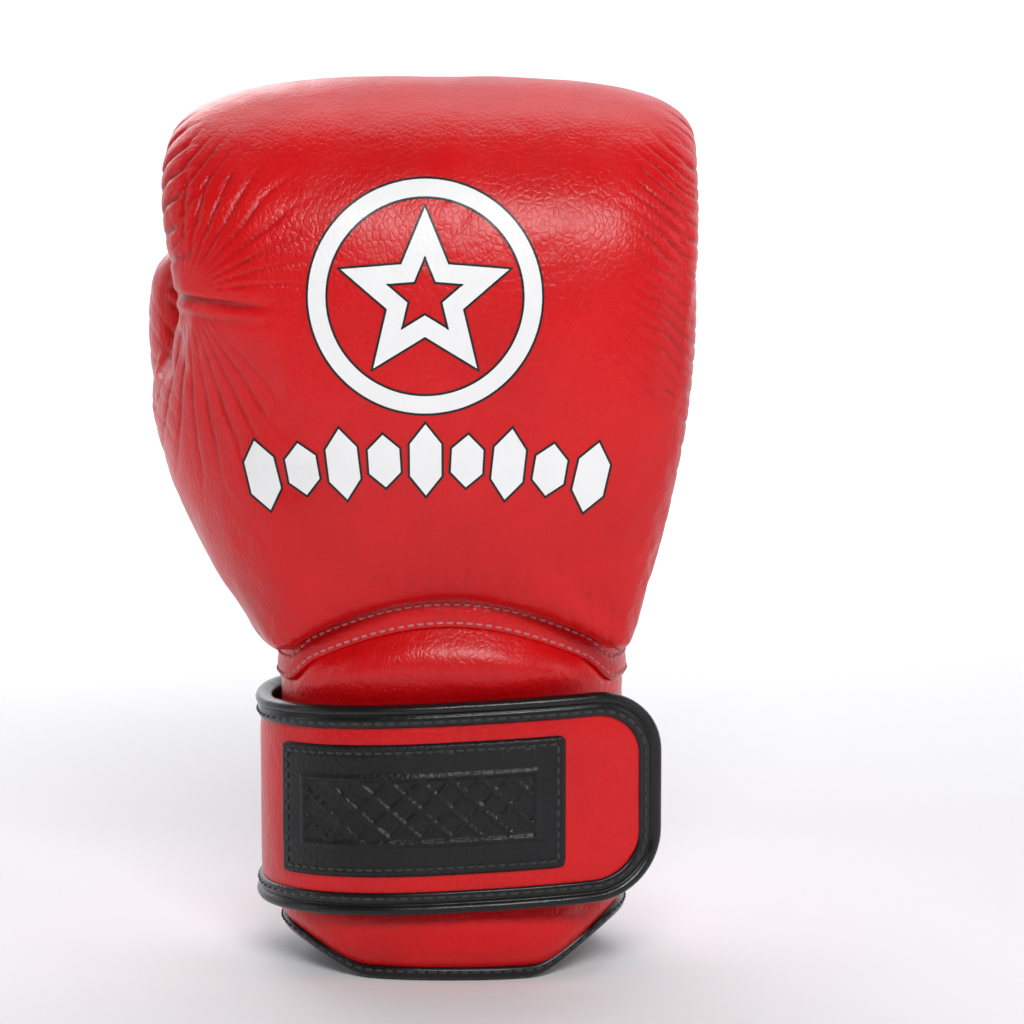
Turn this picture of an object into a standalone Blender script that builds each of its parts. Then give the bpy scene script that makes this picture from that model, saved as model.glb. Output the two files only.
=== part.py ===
"""Right-hand boxing glove with a hook-and-loop wrist strap, built as separate sub-parts.

+Z runs from the wrist rim to the knuckles, -Y is the back of the hand, +Y the palm, -X the thumb.
Sizes are millimetres until the objects are placed, and the objects are in metres.
"""

import math

import bmesh
import bpy
from mathutils import Matrix, Vector

MM = 0.001
GAP = 0.35  # clearance between neighbouring pieces
SKIN = 1.6  # leather wall
LINING = 1.1  # fabric wall
ROUND = 24  # points round a padded section

# Where the modelling origin, the middle of the wrist, lies from the object's own origin.
WRIST_AT = (10.9, -3.0, 0.0)

# The padded hand runs up the back of the hand, over the knuckles and down to the finger roll.
PAD_START = 108.0
PAD_STRAIGHT = 125.0  # along the back of the hand
ROLL_CENTRE = (3.0, 233.0)  # (y, z) that the knuckles curl round
ROLL_RADIUS = 41.0
ROLL_DROP = 25.0  # straight run down the palm side
ROLL_CAP = 23.0  # rounded end of the finger roll
ROLL_STEPS = 10
PAD_RINGS = (12.0, 30.0, 56.0, 82.0, 105.0)  # sections along the back of the hand
PAD_SQUARE = 2.9  # superellipse exponent of the padded section
# (distance along the pad, reach to the thumb side, reach to the little finger, half thickness)
PAD_STATIONS = (
    (0, 57, 59, 12.5),
    (22, 60, 65, 17),
    (56, 67, 73, 21.5),
    (92, 76, 79, 24.5),
    (125, 88, 81, 25),
    (157, 94, 82, 25),
    (189, 92, 82, 25),
    (222, 85, 80, 25),
    (254, 72, 78, 25),
    (279, 63, 75, 24.5),
    (302, 58, 70, 24),
)

# The wrist seam arches up over the back of the hand.
SEAM_ARCH = 21.0
SEAM_SIDE = 98.5
WELT_TALL = 9.0
WELT_DEEP = 1.8

# (height, reach to the thumb, reach to the little finger, palm face, back face)
PALM_STATIONS = (
    (108, 53, 55, 41, -18.5),
    (125, 50, 58, 39.5, -16),
    (150, 50, 61, 33, -14),
    (175, 52, 61, 22, -12.3),
    (190, 53, 60, 16.5, -11.8),
    (204, 53, 58, 16.3, -11.6),
)
PALM_SQUARE = 2.8
POUCH_TOP = ((225, 0.99), (236, 0.9), (242, 0.68))  # (height, share of the full section)

# (x, y, z, radius) along the thumb, whose ends are rounded
THUMB_STATIONS = (
    (-44, 3, 122, 18),
    (-52, 6, 135, 20),
    (-63, 9, 152, 21),
    (-73, 12, 172, 22),
    (-80, 14, 193, 22.5),
    (-82.5, 15, 212, 21.5),
    (-83, 15, 226, 20),
)
THUMB_CAP = 20.0
THUMB_BORE = 11.5
THUMB_ROUND = 16
TETHER_PLACES = ((-80.5, -34.0), (-83.0, -20.0), (-83.0, -6.0), (-80.5, 6.0))  # (x, y)
TETHER_HEIGHTS = (216.0, 230.0)
TETHER_THICK = 2.2

# Cuff, measured at its outer face
CUFF_HALF = (58.0, 44.0)
CUFF_SQUARE = 2.4
CUFF_ROUND = 40
WALL_AT_RIM = 5.6
WALL_FULL = 12.0
RIM_RISE_THUMB = 11.0
RIM_RISE_LITTLE = 17.0
BINDING_TALL = 4.6
BINDING_PROUD = 0.7
BINDING_DEEPER = 0.5
TRIM_PROUD = 0.8  # the welt and the slot's tape stand out from the leather
SLOT_X = 9.0
SLOT_HALF = 7.0
SLOT_TOP = 74.0
SLOT_EDGE = 3.2
SLOT_TRIM_LOW = 0.6
GUSSET_HALF = 15.0
GUSSET_HEIGHTS = (12.0, 84.0)
LOOP_ANGLES = (218.0, 322.0)
LOOP_HEIGHTS = (32.0, 86.0)

# Strap: distances stand off the cuff's outer face
STRAP_LOW = 22.0
STRAP_HIGH = 92.0
STRAP_SLOPE = 0.055
STRAP_INNER = 3.4
STRAP_THICK = 4.0
PIPE_WIDE = 7.0
PIPE_PROUD = 1.1
STRAP_END_X = 66.0
STRAP_END_HALF = 84.0  # the free end leaves the wrist on this flatter oval
STRAP_CORNER = 22.0
STRAP_SPLIT = 0.5
BADGE_RADIUS = 18.0
BADGE_ASIDE = 14.0  # from the middle of the palm stretch
TAPE_THICK = 1.0
LABEL_THICK = 1.2
LABEL_FROM = 12.0  # past the peel line
LABEL_LONG = 91.0
PATCH_HALF = 22.0
HOOK_FROM = 76.0  # before the free end
HOOK_TO = 20.0
# Angles round the cuff where the strap is sewn on and where it folds
ANCHOR_ANGLE = 50.0
LIFT_ANGLE = 62.0
UNWRAP_ANGLE = 132.0
PEEL_ANGLE = 198.0


def clear_scene():
    for obj in list(bpy.data.objects):
        bpy.data.objects.remove(obj, do_unlink=True)


def material(name, colour, roughness):
    made = bpy.data.materials.new(name)
    made.use_nodes = True
    shader = made.node_tree.nodes["Principled BSDF"]
    shader.inputs["Base Color"].default_value = (*colour, 1.0)
    shader.inputs["Roughness"].default_value = roughness
    shader.inputs["Metallic"].default_value = 0.0
    return made


def smooth(share):
    share = min(1.0, max(0.0, share))
    return share * share * (3.0 - 2.0 * share)


def at_station(stations, where):
    """The station's values at this place, on a Catmull-Rom curve through them all."""
    last = len(stations) - 1
    where = min(max(where, stations[0][0]), stations[last][0])
    i = next(k for k in range(last) if where <= stations[k + 1][0])
    span = stations[i + 1][0] - stations[i][0]
    t = (where - stations[i][0]) / span

    def slope(k):
        low, high = max(k - 1, 0), min(k + 1, last)
        reach = stations[high][0] - stations[low][0]
        return [(b - a) / reach for a, b in zip(stations[low][1:], stations[high][1:])]

    ends = zip(stations[i][1:], stations[i + 1][1:], slope(i), slope(i + 1))
    return [
        (2 * t**3 - 3 * t**2 + 1) * a
        + (t**3 - 2 * t**2 + t) * span * from_a
        + (3 * t**2 - 2 * t**3) * b
        + (t**3 - t**2) * span * from_b
        for a, b, from_a, from_b in ends
    ]


def power(value, exponent):
    return math.copysign(abs(value) ** exponent, value)


def oval(angle, half_x, half_y, square):
    """A point on a superellipse, at an angle in degrees."""
    turn = math.radians(angle)
    return half_x * power(math.cos(turn), 2 / square), half_y * power(math.sin(turn), 2 / square)


def spread(low, high, count):
    return [low + (high - low) * i / (count - 1) for i in range(count)]


def finish(name, mesh, look):
    """Makes the object from the bmesh, with its faces outwards and its place in metres."""
    bmesh.ops.remove_doubles(mesh, verts=mesh.verts, dist=1e-4)
    bmesh.ops.recalc_face_normals(mesh, faces=mesh.faces)
    bmesh.ops.transform(
        mesh, verts=mesh.verts, matrix=Matrix.Scale(MM, 4) @ Matrix.Translation(Vector(WRIST_AT))
    )
    data = bpy.data.meshes.new(name)
    mesh.to_mesh(data)
    mesh.free()
    data.materials.append(look)
    data.shade_smooth()
    data.set_sharp_from_angle(angle=math.radians(40))
    obj = bpy.data.objects.new(name, data)
    bpy.context.scene.collection.objects.link(obj)
    return obj


def skin_rings(mesh, rings):
    """Joins each ring of vertices to the next with quads."""
    for a, b in zip(rings, rings[1:]):
        for i in range(len(a)):
            j = (i + 1) % len(a)
            mesh.faces.new((a[i], a[j], b[j], b[i]))


def ring_verts(mesh, rings):
    return [[mesh.verts.new(point) for point in ring] for ring in rings]


def fill_across(mesh, ring, shift):
    """Closes a ring with strips between facing points, so that the end follows the ring's own curve."""
    count = len(ring)
    for i in range((count - shift) // 2):
        j = (count - shift - i) % count
        corners = [ring[i], ring[i + 1], ring[j - 1], ring[j]]
        mesh.faces.new(list(dict.fromkeys(corners)))


def solid(name, rings, look, facing=None):
    """A closed solid through the rings. facing is how its end rings pair up, or None for flat ends."""
    mesh = bmesh.new()
    made = ring_verts(mesh, rings)
    skin_rings(mesh, made)
    for ring in (made[0], made[-1]):
        if facing is None:
            mesh.faces.new(ring)
        else:
            fill_across(mesh, ring, facing)
    return finish(name, mesh, look)


def sleeve(name, outer, inner, look, closed_end=False):
    """A wall between two sets of rings. Its start is open, and its end is open or closed."""
    mesh = bmesh.new()
    outside, inside = ring_verts(mesh, outer), ring_verts(mesh, inner)
    skin_rings(mesh, outside)
    skin_rings(mesh, inside)
    skin_rings(mesh, [outside[0], inside[0]])
    if closed_end:
        mesh.faces.new(outside[-1])
        mesh.faces.new(inside[-1])
    else:
        skin_rings(mesh, [outside[-1], inside[-1]])
    return finish(name, mesh, look)


def cut(obj, *cutters):
    for cutter in cutters:
        boolean = obj.modifiers.new(f"less_{cutter.name}", "BOOLEAN")
        boolean.operation = "DIFFERENCE"
        boolean.object = cutter


def as_cutter(obj):
    obj.hide_render = True
    obj.display_type = "WIRE"
    return obj


# ---- padded hand ----


def pad_frame(along):
    """(y, z) of the pad's middle and the outward direction there."""
    arc = math.pi * ROLL_RADIUS
    middle_y, middle_z = ROLL_CENTRE
    if along < PAD_STRAIGHT:
        share = along / PAD_STRAIGHT
        return middle_y - ROLL_RADIUS + 4.5 * (1 - share) ** 2, PAD_START + along, -1.0, 0.0
    if along < PAD_STRAIGHT + arc:
        turn = (along - PAD_STRAIGHT) / ROLL_RADIUS
        out_y, out_z = -math.cos(turn), math.sin(turn)
        return middle_y + ROLL_RADIUS * out_y, middle_z + ROLL_RADIUS * out_z, out_y, out_z
    drop = along - PAD_STRAIGHT - arc
    return middle_y + ROLL_RADIUS, middle_z - drop, 1.0, 0.0


PAD_LENGTH = PAD_STRAIGHT + math.pi * ROLL_RADIUS + ROLL_DROP + ROLL_CAP


def arch(x):
    return SEAM_ARCH * max(0.0, 1 - (x / CUFF_HALF[0]) ** 2)


def pad_ring(along, inset, low=-1.0, high=1.0):
    """A ring of the pad. low and high keep a share of its thickness, -1 its inner face, 1 its outer."""
    thumb, little, half = at_station(PAD_STATIONS, along)
    middle_y, middle_z, out_y, out_z = pad_frame(along)
    into_cap = max(0.0, along - (PAD_LENGTH - ROLL_CAP)) / (ROLL_CAP - inset)
    cap = math.sqrt(max(0.0, 1 - into_cap**2)) if into_cap < 1 else 0.0
    pull = (1 - cap) * ROLL_CAP
    half_x = (thumb + little) / 2 - inset - pull
    half = (half - inset) * max(cap, 0.12)
    fade = (1 - smooth(along / 70.0)) if along < 70.0 else 0.0
    ring = []
    for i in range(ROUND):
        x, out = oval(360.0 * i / ROUND, half_x, half, PAD_SQUARE)
        out = min(max(out, low * half), high * half)
        x += (little - thumb) / 2
        ring.append((x, middle_y + out * out_y, middle_z + out * out_z + fade * arch(x)))
    return ring


def pad_places(start, end):
    """Distances along the pad, the same for every layer, closer together round the knuckles."""
    arc = math.pi * ROLL_RADIUS
    fixed = list(PAD_RINGS) + [PAD_STRAIGHT + arc * k / ROLL_STEPS for k in range(ROLL_STEPS + 1)]
    straight_end = min(end, PAD_LENGTH - ROLL_CAP)
    body = [start] + [place for place in fixed if start < place < straight_end] + [straight_end]
    if end <= PAD_LENGTH - ROLL_CAP:
        return body
    cap_end = end - (PAD_LENGTH - ROLL_CAP)
    return body + [PAD_LENGTH - ROLL_CAP + cap_end * math.sin(math.radians(a)) for a in (25, 48, 68, 86)]


def pad_rings(start, end, inset, low=-1.0, high=1.0):
    return [pad_ring(along, inset, low, high) for along in pad_places(start, end)]


def make_pad(red, foam):
    """The leather slab and its three foams. Returns the space they fill, as a cutter."""
    sleeve(
        "fist_shell",
        pad_rings(0.0, PAD_LENGTH, 0.0),
        pad_rings(0.0, PAD_LENGTH - SKIN, SKIN),
        red,
        closed_end=True,
    )
    inset = SKIN + 2 * GAP
    roll_from = PAD_STRAIGHT + math.pi * ROLL_RADIUS * 0.9
    solid("knuckle_foam_outer", pad_rings(2.0, roll_from - GAP, inset, low=0.02), foam, facing=0)
    solid("knuckle_foam_inner", pad_rings(2.0, roll_from - GAP, inset, high=-0.02), foam, facing=0)
    solid("finger_roll_foam", pad_rings(roll_from, PAD_LENGTH - inset, inset), foam, facing=0)
    return as_cutter(solid("fist_volume", pad_rings(-1.0, PAD_LENGTH + GAP, -GAP), foam, facing=0))


# ---- palm side and hand pocket ----


def palm_ring(height, inset, share=1.0, base_inset=0.0):
    """The arched section over the palm, from the thumb side to the little-finger side."""
    thumb, little, palm, back = at_station(PALM_STATIONS, height)
    middle = (little - thumb) / 2
    half_x = ((thumb + little) / 2 - inset) * (0.75 + 0.25 * share)
    base = back + base_inset
    rise = (palm - inset - base) * share
    base += (palm - inset - base) * (1 - share) / 2
    turns = spread(180.0, 0.0, 15)
    arc = [oval(turn, half_x, rise, PALM_SQUARE) for turn in turns]
    return [(middle + x, base + y, height) for x, y in arc]


def pouch_ring(height, inset, share, base_inset):
    """A closed ring: the arched section and its flat back, shrinking towards the fingertips."""
    arc = palm_ring(min(height, PALM_STATIONS[-1][0]), inset, share, base_inset)
    ring = [(x, y, height) for x, y, _ in arc]
    first, last = ring[0], ring[-1]
    back = [
        (last[0] + (first[0] - last[0]) * k / 5, last[1] + (first[1] - last[1]) * k / 5, height)
        for k in range(1, 5)
    ]
    return ring + back


def pouch_rings(depth):
    """The hand pouch, this deep inside its own outer face."""
    inset, base_inset = SKIN + 3 * GAP + depth, GAP + depth
    body = [pouch_ring(z, inset, 1.0, base_inset) for z in spread(PAD_START, PALM_STATIONS[-1][0], 7)]
    return body + [pouch_ring(z - depth, inset, share, base_inset) for z, share in POUCH_TOP]


def make_palm(red, fabric, foam):
    heights = spread(PAD_START, PALM_STATIONS[-1][0], 9)
    panel = solid(
        "palm_panel",
        [palm_ring(z, 0.0) + palm_ring(z, SKIN)[::-1] for z in heights],
        red,
    )
    lining = sleeve("hand_lining", pouch_rings(0.0), pouch_rings(LINING), fabric, closed_end=True)
    heights = spread(PAD_START - 3, 207.0, 9)
    volume = as_cutter(solid("palm_volume", [pouch_ring(z, -GAP, 1.0, -GAP) for z in heights], foam))
    return panel, lining, volume


def make_grip_bar(fabric):
    """The padded bar across the pocket that the fingers close on."""
    bar_y, bar_z, radius = 7.2, 180.0, 5.4
    rings = []
    for x, share in ((-29, 0.6), (-27, 0.9), (-12, 1.0), (15, 1.0), (35, 0.9), (37, 0.6)):
        turns = [math.radians(360.0 * i / 10) for i in range(10)]
        rings.append(
            [
                (x, bar_y + radius * share * math.cos(t), bar_z + radius * share * math.sin(t))
                for t in turns
            ]
        )
    return solid("grip_bar", rings, fabric)


# ---- thumb ----


def thumb_path(share):
    """(middle, direction, radius) at a share of the thumb's length."""
    stations = [(i, *row) for i, row in enumerate(THUMB_STATIONS)]
    here = share * (len(stations) - 1)
    *middle, radius = at_station(stations, here)
    ahead = Vector(at_station(stations, here + 0.05)[:3])
    behind = Vector(at_station(stations, here - 0.05)[:3])
    return Vector(middle), (ahead - behind).normalized(), radius


def round_ring(middle, along, radius):
    side = Vector((0, 1, 0))
    side = (side - along * side.dot(along)).normalized()
    other = along.cross(side)
    turns = [2 * math.pi * i / THUMB_ROUND for i in range(THUMB_ROUND)]
    return [middle + side * radius * math.cos(t) + other * radius * math.sin(t) for t in turns]


def thumb_ring(share, grow, cap=0.0):
    """A ring round the thumb. cap is the distance past the last station."""
    middle, along, radius = thumb_path(share)
    reach = THUMB_CAP + grow
    shrink = math.sqrt(max(0.0, 1 - (cap / reach) ** 2)) if cap < reach else 0.0
    radius = (radius + grow) * max(shrink, 0.15)
    middle = middle + along * cap
    return round_ring(middle, along, radius)


def thumb_rings(grow):
    body = [thumb_ring(share, grow) for share in spread(0.0, 1.0, 8)]
    reach = THUMB_CAP + grow
    return body + [thumb_ring(1.0, grow, reach * math.sin(math.radians(a))) for a in (28, 52, 70, 85)]


def bore_rings(radius, start=0.0, before=0.0):
    """The round thumb pocket, which may start before the thumb's first station."""
    rings = []
    for share in spread(start, 0.93, 8):
        middle, along, _ = thumb_path(share)
        rings.append((middle, along, radius))
    middle, along, _ = rings[0]
    if before:
        rings.insert(0, (middle - along * before, along, radius))
    middle, along, _ = rings[-1]
    rings += [(middle + along * 6, along, radius * 0.85), (middle + along * 10, along, radius * 0.5)]
    return [round_ring(*ring) for ring in rings]


def make_thumb(red, foam, fabric, fist_volume, palm_volume):
    shell = sleeve("thumb_shell", thumb_rings(0.0), thumb_rings(-SKIN), red, closed_end=True)
    lining_outer = THUMB_BORE + LINING
    padding = sleeve(
        "thumb_foam",
        thumb_rings(-SKIN - GAP),
        bore_rings(lining_outer + GAP),
        foam,
        closed_end=True,
    )
    lining = sleeve(
        "thumb_lining", bore_rings(lining_outer), bore_rings(THUMB_BORE), fabric, closed_end=True
    )
    for piece in (shell, padding, lining):
        cut(piece, palm_volume, fist_volume)
    bore = as_cutter(solid("thumb_bore", bore_rings(THUMB_BORE, before=22.0), foam))
    volume = as_cutter(solid("thumb_volume", thumb_rings(GAP), foam))
    return bore, volume


def make_tether(red, fist_volume, thumb_volume):
    """The short leather strip that ties the thumb to the fist at its tip."""
    low, high = TETHER_HEIGHTS
    rings = []
    for x, y in TETHER_PLACES:
        far = x + TETHER_THICK
        rings.append([(x, y, low), (far, y, low), (far, y, high), (x, y, high)])
    cut(solid("thumb_tether", rings, red), fist_volume, thumb_volume)


# ---- cuff ----


def seam_low(angle):
    """Height of the wrist seam round the cuff: level at the palm, arched over the back."""
    x, y = oval(angle, *CUFF_HALF, CUFF_SQUARE)
    return SEAM_SIDE + arch(x) * smooth((-y - 20.0) / 12.0)


def rim(angle):
    """Height of the cuff's lower edge: flat at the back and the palm, raised at both sides."""
    aside = math.cos(math.radians(angle))
    rise = RIM_RISE_LITTLE if aside > 0 else RIM_RISE_THUMB
    return rise * smooth((abs(aside) - 0.52) / 0.48)


def cuff_reach(height):
    """How much the cuff's outer face draws in near its rim and swells under the seam."""
    return -4.0 * (1 - smooth(height / 20.0)) - 2.0 * smooth((height - 96.0) / 30.0)


def wall(height):
    return WALL_AT_RIM + (WALL_FULL - WALL_AT_RIM) * smooth((height - 6.0) / 24.0)


def cuff_point(angle, height, depth):
    """depth is how far the point lies inside the cuff's outer face."""
    grow = cuff_reach(height) - depth
    x, y = oval(angle, CUFF_HALF[0] + grow, CUFF_HALF[1] + grow, CUFF_SQUARE)
    return x, y, height


def cuff_rings(depth_of, low, high, count=9):
    """low and high give the height of the ends at each angle, depth_of the depth at each height."""
    rings = []
    for share in spread(0.0, 1.0, count):
        ring = []
        for i in range(CUFF_ROUND):
            angle = 360.0 * i / CUFF_ROUND
            height = low(angle) + (high(angle) - low(angle)) * share
            ring.append(cuff_point(angle, height, depth_of(height)))
        rings.append(ring)
    return rings


def slot_outline(half, top, points=9):
    """The slot's hairpin outline as (x, z), up one side, round the top and down the other."""
    turns = spread(180.0, 0.0, points)
    arc = [
        (SLOT_X + half * math.cos(math.radians(t)), top - half + half * math.sin(math.radians(t)))
        for t in turns
    ]
    low = -8.0
    return [(SLOT_X - half, low)] + arc + [(SLOT_X + half, low)]


def palm_face(x, height, depth):
    """y of the palm side of the cuff at this x."""
    grow = cuff_reach(height) - depth
    half_x, half_y = CUFF_HALF[0] + grow, CUFF_HALF[1] + grow
    return half_y * (1 - (abs(x) / half_x) ** CUFF_SQUARE) ** (1 / CUFF_SQUARE)


def make_cuff(red, black, foam, fabric, loop):
    def low(angle):
        return rim(angle) + BINDING_TALL + GAP

    def high(angle):
        return seam_low(angle) - GAP

    outline = slot_outline(SLOT_HALF + SLOT_EDGE + GAP, SLOT_TOP + SLOT_EDGE + GAP)
    slot = as_cutter(
        solid("slot_volume", [[(x, y, z) for x, z in outline] for y in (15.0, 60.0)], foam)
    )
    layers = (
        ("cuff_shell", lambda h: 0.0, lambda h: SKIN, red),
        ("cuff_foam", lambda h: SKIN + GAP, lambda h: wall(h) - LINING - GAP, foam),
        ("cuff_lining", lambda h: wall(h) - LINING, wall, fabric),
    )
    for name, outer, inner, look in layers:
        cut(sleeve(name, cuff_rings(outer, low, high), cuff_rings(inner, low, high), look), slot)

    def welt_top(angle):
        return seam_low(angle) + WELT_TALL

    def proud(_):
        return -TRIM_PROUD

    sleeve(
        "wrist_welt",
        cuff_rings(proud, seam_low, welt_top, 3),
        cuff_rings(lambda h: WELT_DEEP, seam_low, welt_top, 3),
        red,
    )
    make_rim_binding(black)
    make_slot_trim(black, fabric)
    make_loop_patch(loop)


def section_ring(angle, low, high, outer, inner):
    """An eight-sided section with cut corners, standing on the cuff at one angle."""
    chamfer = 1.0
    corners = (
        (outer, low + chamfer),
        (outer, high - chamfer),
        (outer + chamfer, high),
        (inner - chamfer, high),
        (inner, high - chamfer),
        (inner, low + chamfer),
        (inner - chamfer, low),
        (outer + chamfer, low),
    )
    middle = (low + high) / 2
    ring = []
    for depth, height in corners:
        x, y, _ = cuff_point(angle, middle, depth)
        ring.append((x, y, height))
    return ring


def slot_angle(x):
    """The angle round the cuff that lies at this x on the palm side."""
    half_x = CUFF_HALF[0] + cuff_reach(2.0)
    return math.degrees(math.acos(power(x / half_x, CUFF_SQUARE / 2)))


def make_rim_binding(black):
    """Turned edge tape under the whole wall, open at the slot."""
    start = slot_angle(SLOT_X - SLOT_HALF - SLOT_EDGE - 2 * GAP)
    end = slot_angle(SLOT_X + SLOT_HALF + SLOT_EDGE + 8 * GAP) + 360.0
    rings = [
        section_ring(a, rim(a), rim(a) + BINDING_TALL, -BINDING_PROUD, WALL_AT_RIM + BINDING_DEEPER)
        for a in spread(start, end, CUFF_ROUND + 2)
    ]
    solid("rim_binding", rings, black)


def make_slot_trim(black, fabric):
    """The tape round the wrist slot, and the thin gusset behind it."""
    inner = slot_outline(SLOT_HALF, SLOT_TOP)
    outer = slot_outline(SLOT_HALF + SLOT_EDGE, SLOT_TOP + SLOT_EDGE)
    rings = []
    for (x_in, z_in), (x_out, z_out) in zip(inner, outer):
        ring = []
        for x, z in ((x_in, z_in), (x_out, z_out)):
            z = max(z, SLOT_TRIM_LOW)
            ring.append(((x, palm_face(x, z, -TRIM_PROUD), z), (x, palm_face(x, z, wall(z)), z)))
        rings.append([ring[0][0], ring[1][0], ring[1][1], ring[0][1]])
    solid("slot_binding", rings, black)
    behind = WALL_FULL + 2 * GAP
    low, high = GUSSET_HEIGHTS
    rings = []
    for x in spread(SLOT_X - GUSSET_HALF, SLOT_X + GUSSET_HALF, 7):
        near, far = (palm_face(x, (low + high) / 2, depth) for depth in (behind, behind + LINING))
        rings.append([(x, near, low), (x, near, high), (x, far, high), (x, far, low)])
    solid("slot_gusset", rings, fabric)


# ---- strap ----


def strap_point(angle):
    """(x, y) under the strap: the cuff's oval, then a flatter one towards the free end."""
    half_x = STRAP_END_HALF if angle > 270.0 else CUFF_HALF[0]
    return oval(angle, half_x, CUFF_HALF[1], CUFF_SQUARE)


def strap_end_angle():
    share = STRAP_END_X / STRAP_END_HALF
    return 360.0 - math.degrees(math.acos(share ** (CUFF_SQUARE / 2)))


def build_strap_line():
    """(distance, x, y, out x, out y, angle) from the sewn end to the free end."""
    end = strap_end_angle()
    count = 260
    angles = [ANCHOR_ANGLE + (end - ANCHOR_ANGLE) * i / count for i in range(count + 1)]
    spots = [Vector(strap_point(a)) for a in angles]
    line, travelled = [], 0.0
    for i, spot in enumerate(spots):
        ahead, behind = spots[min(i + 1, count)], spots[max(i - 1, 0)]
        step = (ahead - behind).normalized()
        if i:
            travelled += (spot - spots[i - 1]).length
        line.append((travelled, spot.x, spot.y, step.y, -step.x, angles[i]))
    return line


STRAP_LINE = build_strap_line()
STRAP_LENGTH = STRAP_LINE[-1][0]


def distance_at(angle):
    return next(row[0] for row in STRAP_LINE if row[5] >= angle)


def strap_place(along, off, height):
    """A point on the strap: along it, off the cuff and at a height before the slope."""
    i = next((k for k, row in enumerate(STRAP_LINE) if row[0] >= along), len(STRAP_LINE) - 1)
    low, high = STRAP_LINE[max(i - 1, 0)], STRAP_LINE[i]
    span = high[0] - low[0]
    share = (along - low[0]) / span if span else 0.0
    x, y, out_x, out_y = [a + (b - a) * share for a, b in zip(low[1:5], high[1:5])]
    climb = STRAP_SLOPE * max(0.0, along - distance_at(PEEL_ANGLE))
    return x + out_x * off, y + out_y * off, height + climb


def strap_half_height(along, trim):
    """Half the strap's height, rounded at its free end. trim is how far in from its outline."""
    full = (STRAP_HIGH - STRAP_LOW) / 2 - trim
    corner = STRAP_CORNER - trim
    into = along - (STRAP_LENGTH - trim - corner)
    if into <= 0:
        return full
    return full - corner + math.sqrt(max(0.0, corner**2 - min(into, corner) ** 2))


def band_rings(places, off, thick, half_of, middle=(STRAP_LOW + STRAP_HIGH) / 2):
    """Four-cornered rings of a flat band that lies along the strap's line."""
    rings = []
    for along in places:
        half = half_of(along)
        rings.append(
            [
                strap_place(along, off, middle - half),
                strap_place(along, off, middle + half),
                strap_place(along, off + thick, middle + half),
                strap_place(along, off + thick, middle - half),
            ]
        )
    return rings


def pipe_ring(along, edge, out_along, out_up):
    """A chamfered section of piping. edge is (distance, height) on the strap's own edge."""
    proud, wide, bevel = PIPE_PROUD, PIPE_WIDE, 0.9
    low, high = STRAP_INNER - 0.2, STRAP_INNER + STRAP_THICK + proud
    corners = (
        (GAP, low),
        (GAP, high - bevel),
        (GAP + bevel, high),
        (wide - bevel, high),
        (wide, high - bevel),
        (wide, low + bevel),
        (wide - bevel, low),
    )
    return [
        strap_place(min(along + reach * out_along, STRAP_LENGTH), off, edge + reach * out_up)
        for reach, off in corners
    ]


def tip_piping_rings(start):
    """Piping along the top edge, round the free end and back along the bottom edge."""
    middle = (STRAP_LOW + STRAP_HIGH) / 2
    half = (STRAP_HIGH - STRAP_LOW) / 2 - PIPE_WIDE
    end = STRAP_LENGTH - PIPE_WIDE
    corner = STRAP_CORNER - PIPE_WIDE
    rings = [pipe_ring(s, middle + half, 0, 1) for s in spread(start, end - corner, 11)]
    for turn in spread(72.0, 0.0, 5):
        c, s = math.cos(math.radians(turn)), math.sin(math.radians(turn))
        rings.append(pipe_ring(end - corner + corner * c, middle + half - corner + corner * s, c, s))
    for turn in spread(0.0, -72.0, 5):
        c, s = math.cos(math.radians(turn)), math.sin(math.radians(turn))
        rings.append(pipe_ring(end - corner + corner * c, middle - half + corner + corner * s, c, s))
    return rings + [pipe_ring(s, middle - half, 0, -1) for s in spread(end - corner, start, 11)]


def make_strap(red, black, hook, label, badge):
    middle = (STRAP_LOW + STRAP_HIGH) / 2
    body_half = (STRAP_HIGH - STRAP_LOW) / 2 - PIPE_WIDE
    lift, unwrap, peel = (distance_at(a) for a in (LIFT_ANGLE, UNWRAP_ANGLE, PEEL_ANGLE))
    half_split = STRAP_SPLIT / 2
    segments = (
        ("strap_anchor", 0.0, lift - half_split, 3),
        ("strap_palm", lift + half_split, unwrap - half_split, 10),
        ("strap_side", unwrap + half_split, peel - half_split, 10),
    )
    for name, start, end, count in segments:
        places = spread(start, end, count)
        solid(name, band_rings(places, STRAP_INNER, STRAP_THICK, lambda s: body_half), red)
        for where, side in (("top", 1), ("bottom", -1)):
            rings = [pipe_ring(s, middle + side * body_half, 0, side) for s in places]
            solid(f"{name}_piping_{where}", rings, black)

    start, end = peel + half_split, STRAP_LENGTH - PIPE_WIDE
    corner = STRAP_CORNER - PIPE_WIDE
    places = spread(start, end - corner, 13)
    places += [end - corner + corner * math.sin(math.radians(a)) for a in (25, 48, 68, 84)]
    solid(
        "strap_tip",
        band_rings(places, STRAP_INNER, STRAP_THICK, lambda s: strap_half_height(s, PIPE_WIDE)),
        red,
    )
    solid("strap_tip_piping", tip_piping_rings(start), black)

    over = STRAP_INNER + STRAP_THICK + GAP
    label_places = spread(start + LABEL_FROM, start + LABEL_FROM + LABEL_LONG, 14)
    solid("label_patch", band_rings(label_places, over, LABEL_THICK, lambda s: PATCH_HALF), label)
    hook_places = spread(STRAP_LENGTH - HOOK_FROM, STRAP_LENGTH - HOOK_TO, 9)
    under = STRAP_INNER - GAP - TAPE_THICK
    solid("hook_patch", band_rings(hook_places, under, TAPE_THICK, lambda s: PATCH_HALF), hook)
    make_badge(badge, (lift + unwrap) / 2 + BADGE_ASIDE, over)


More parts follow.
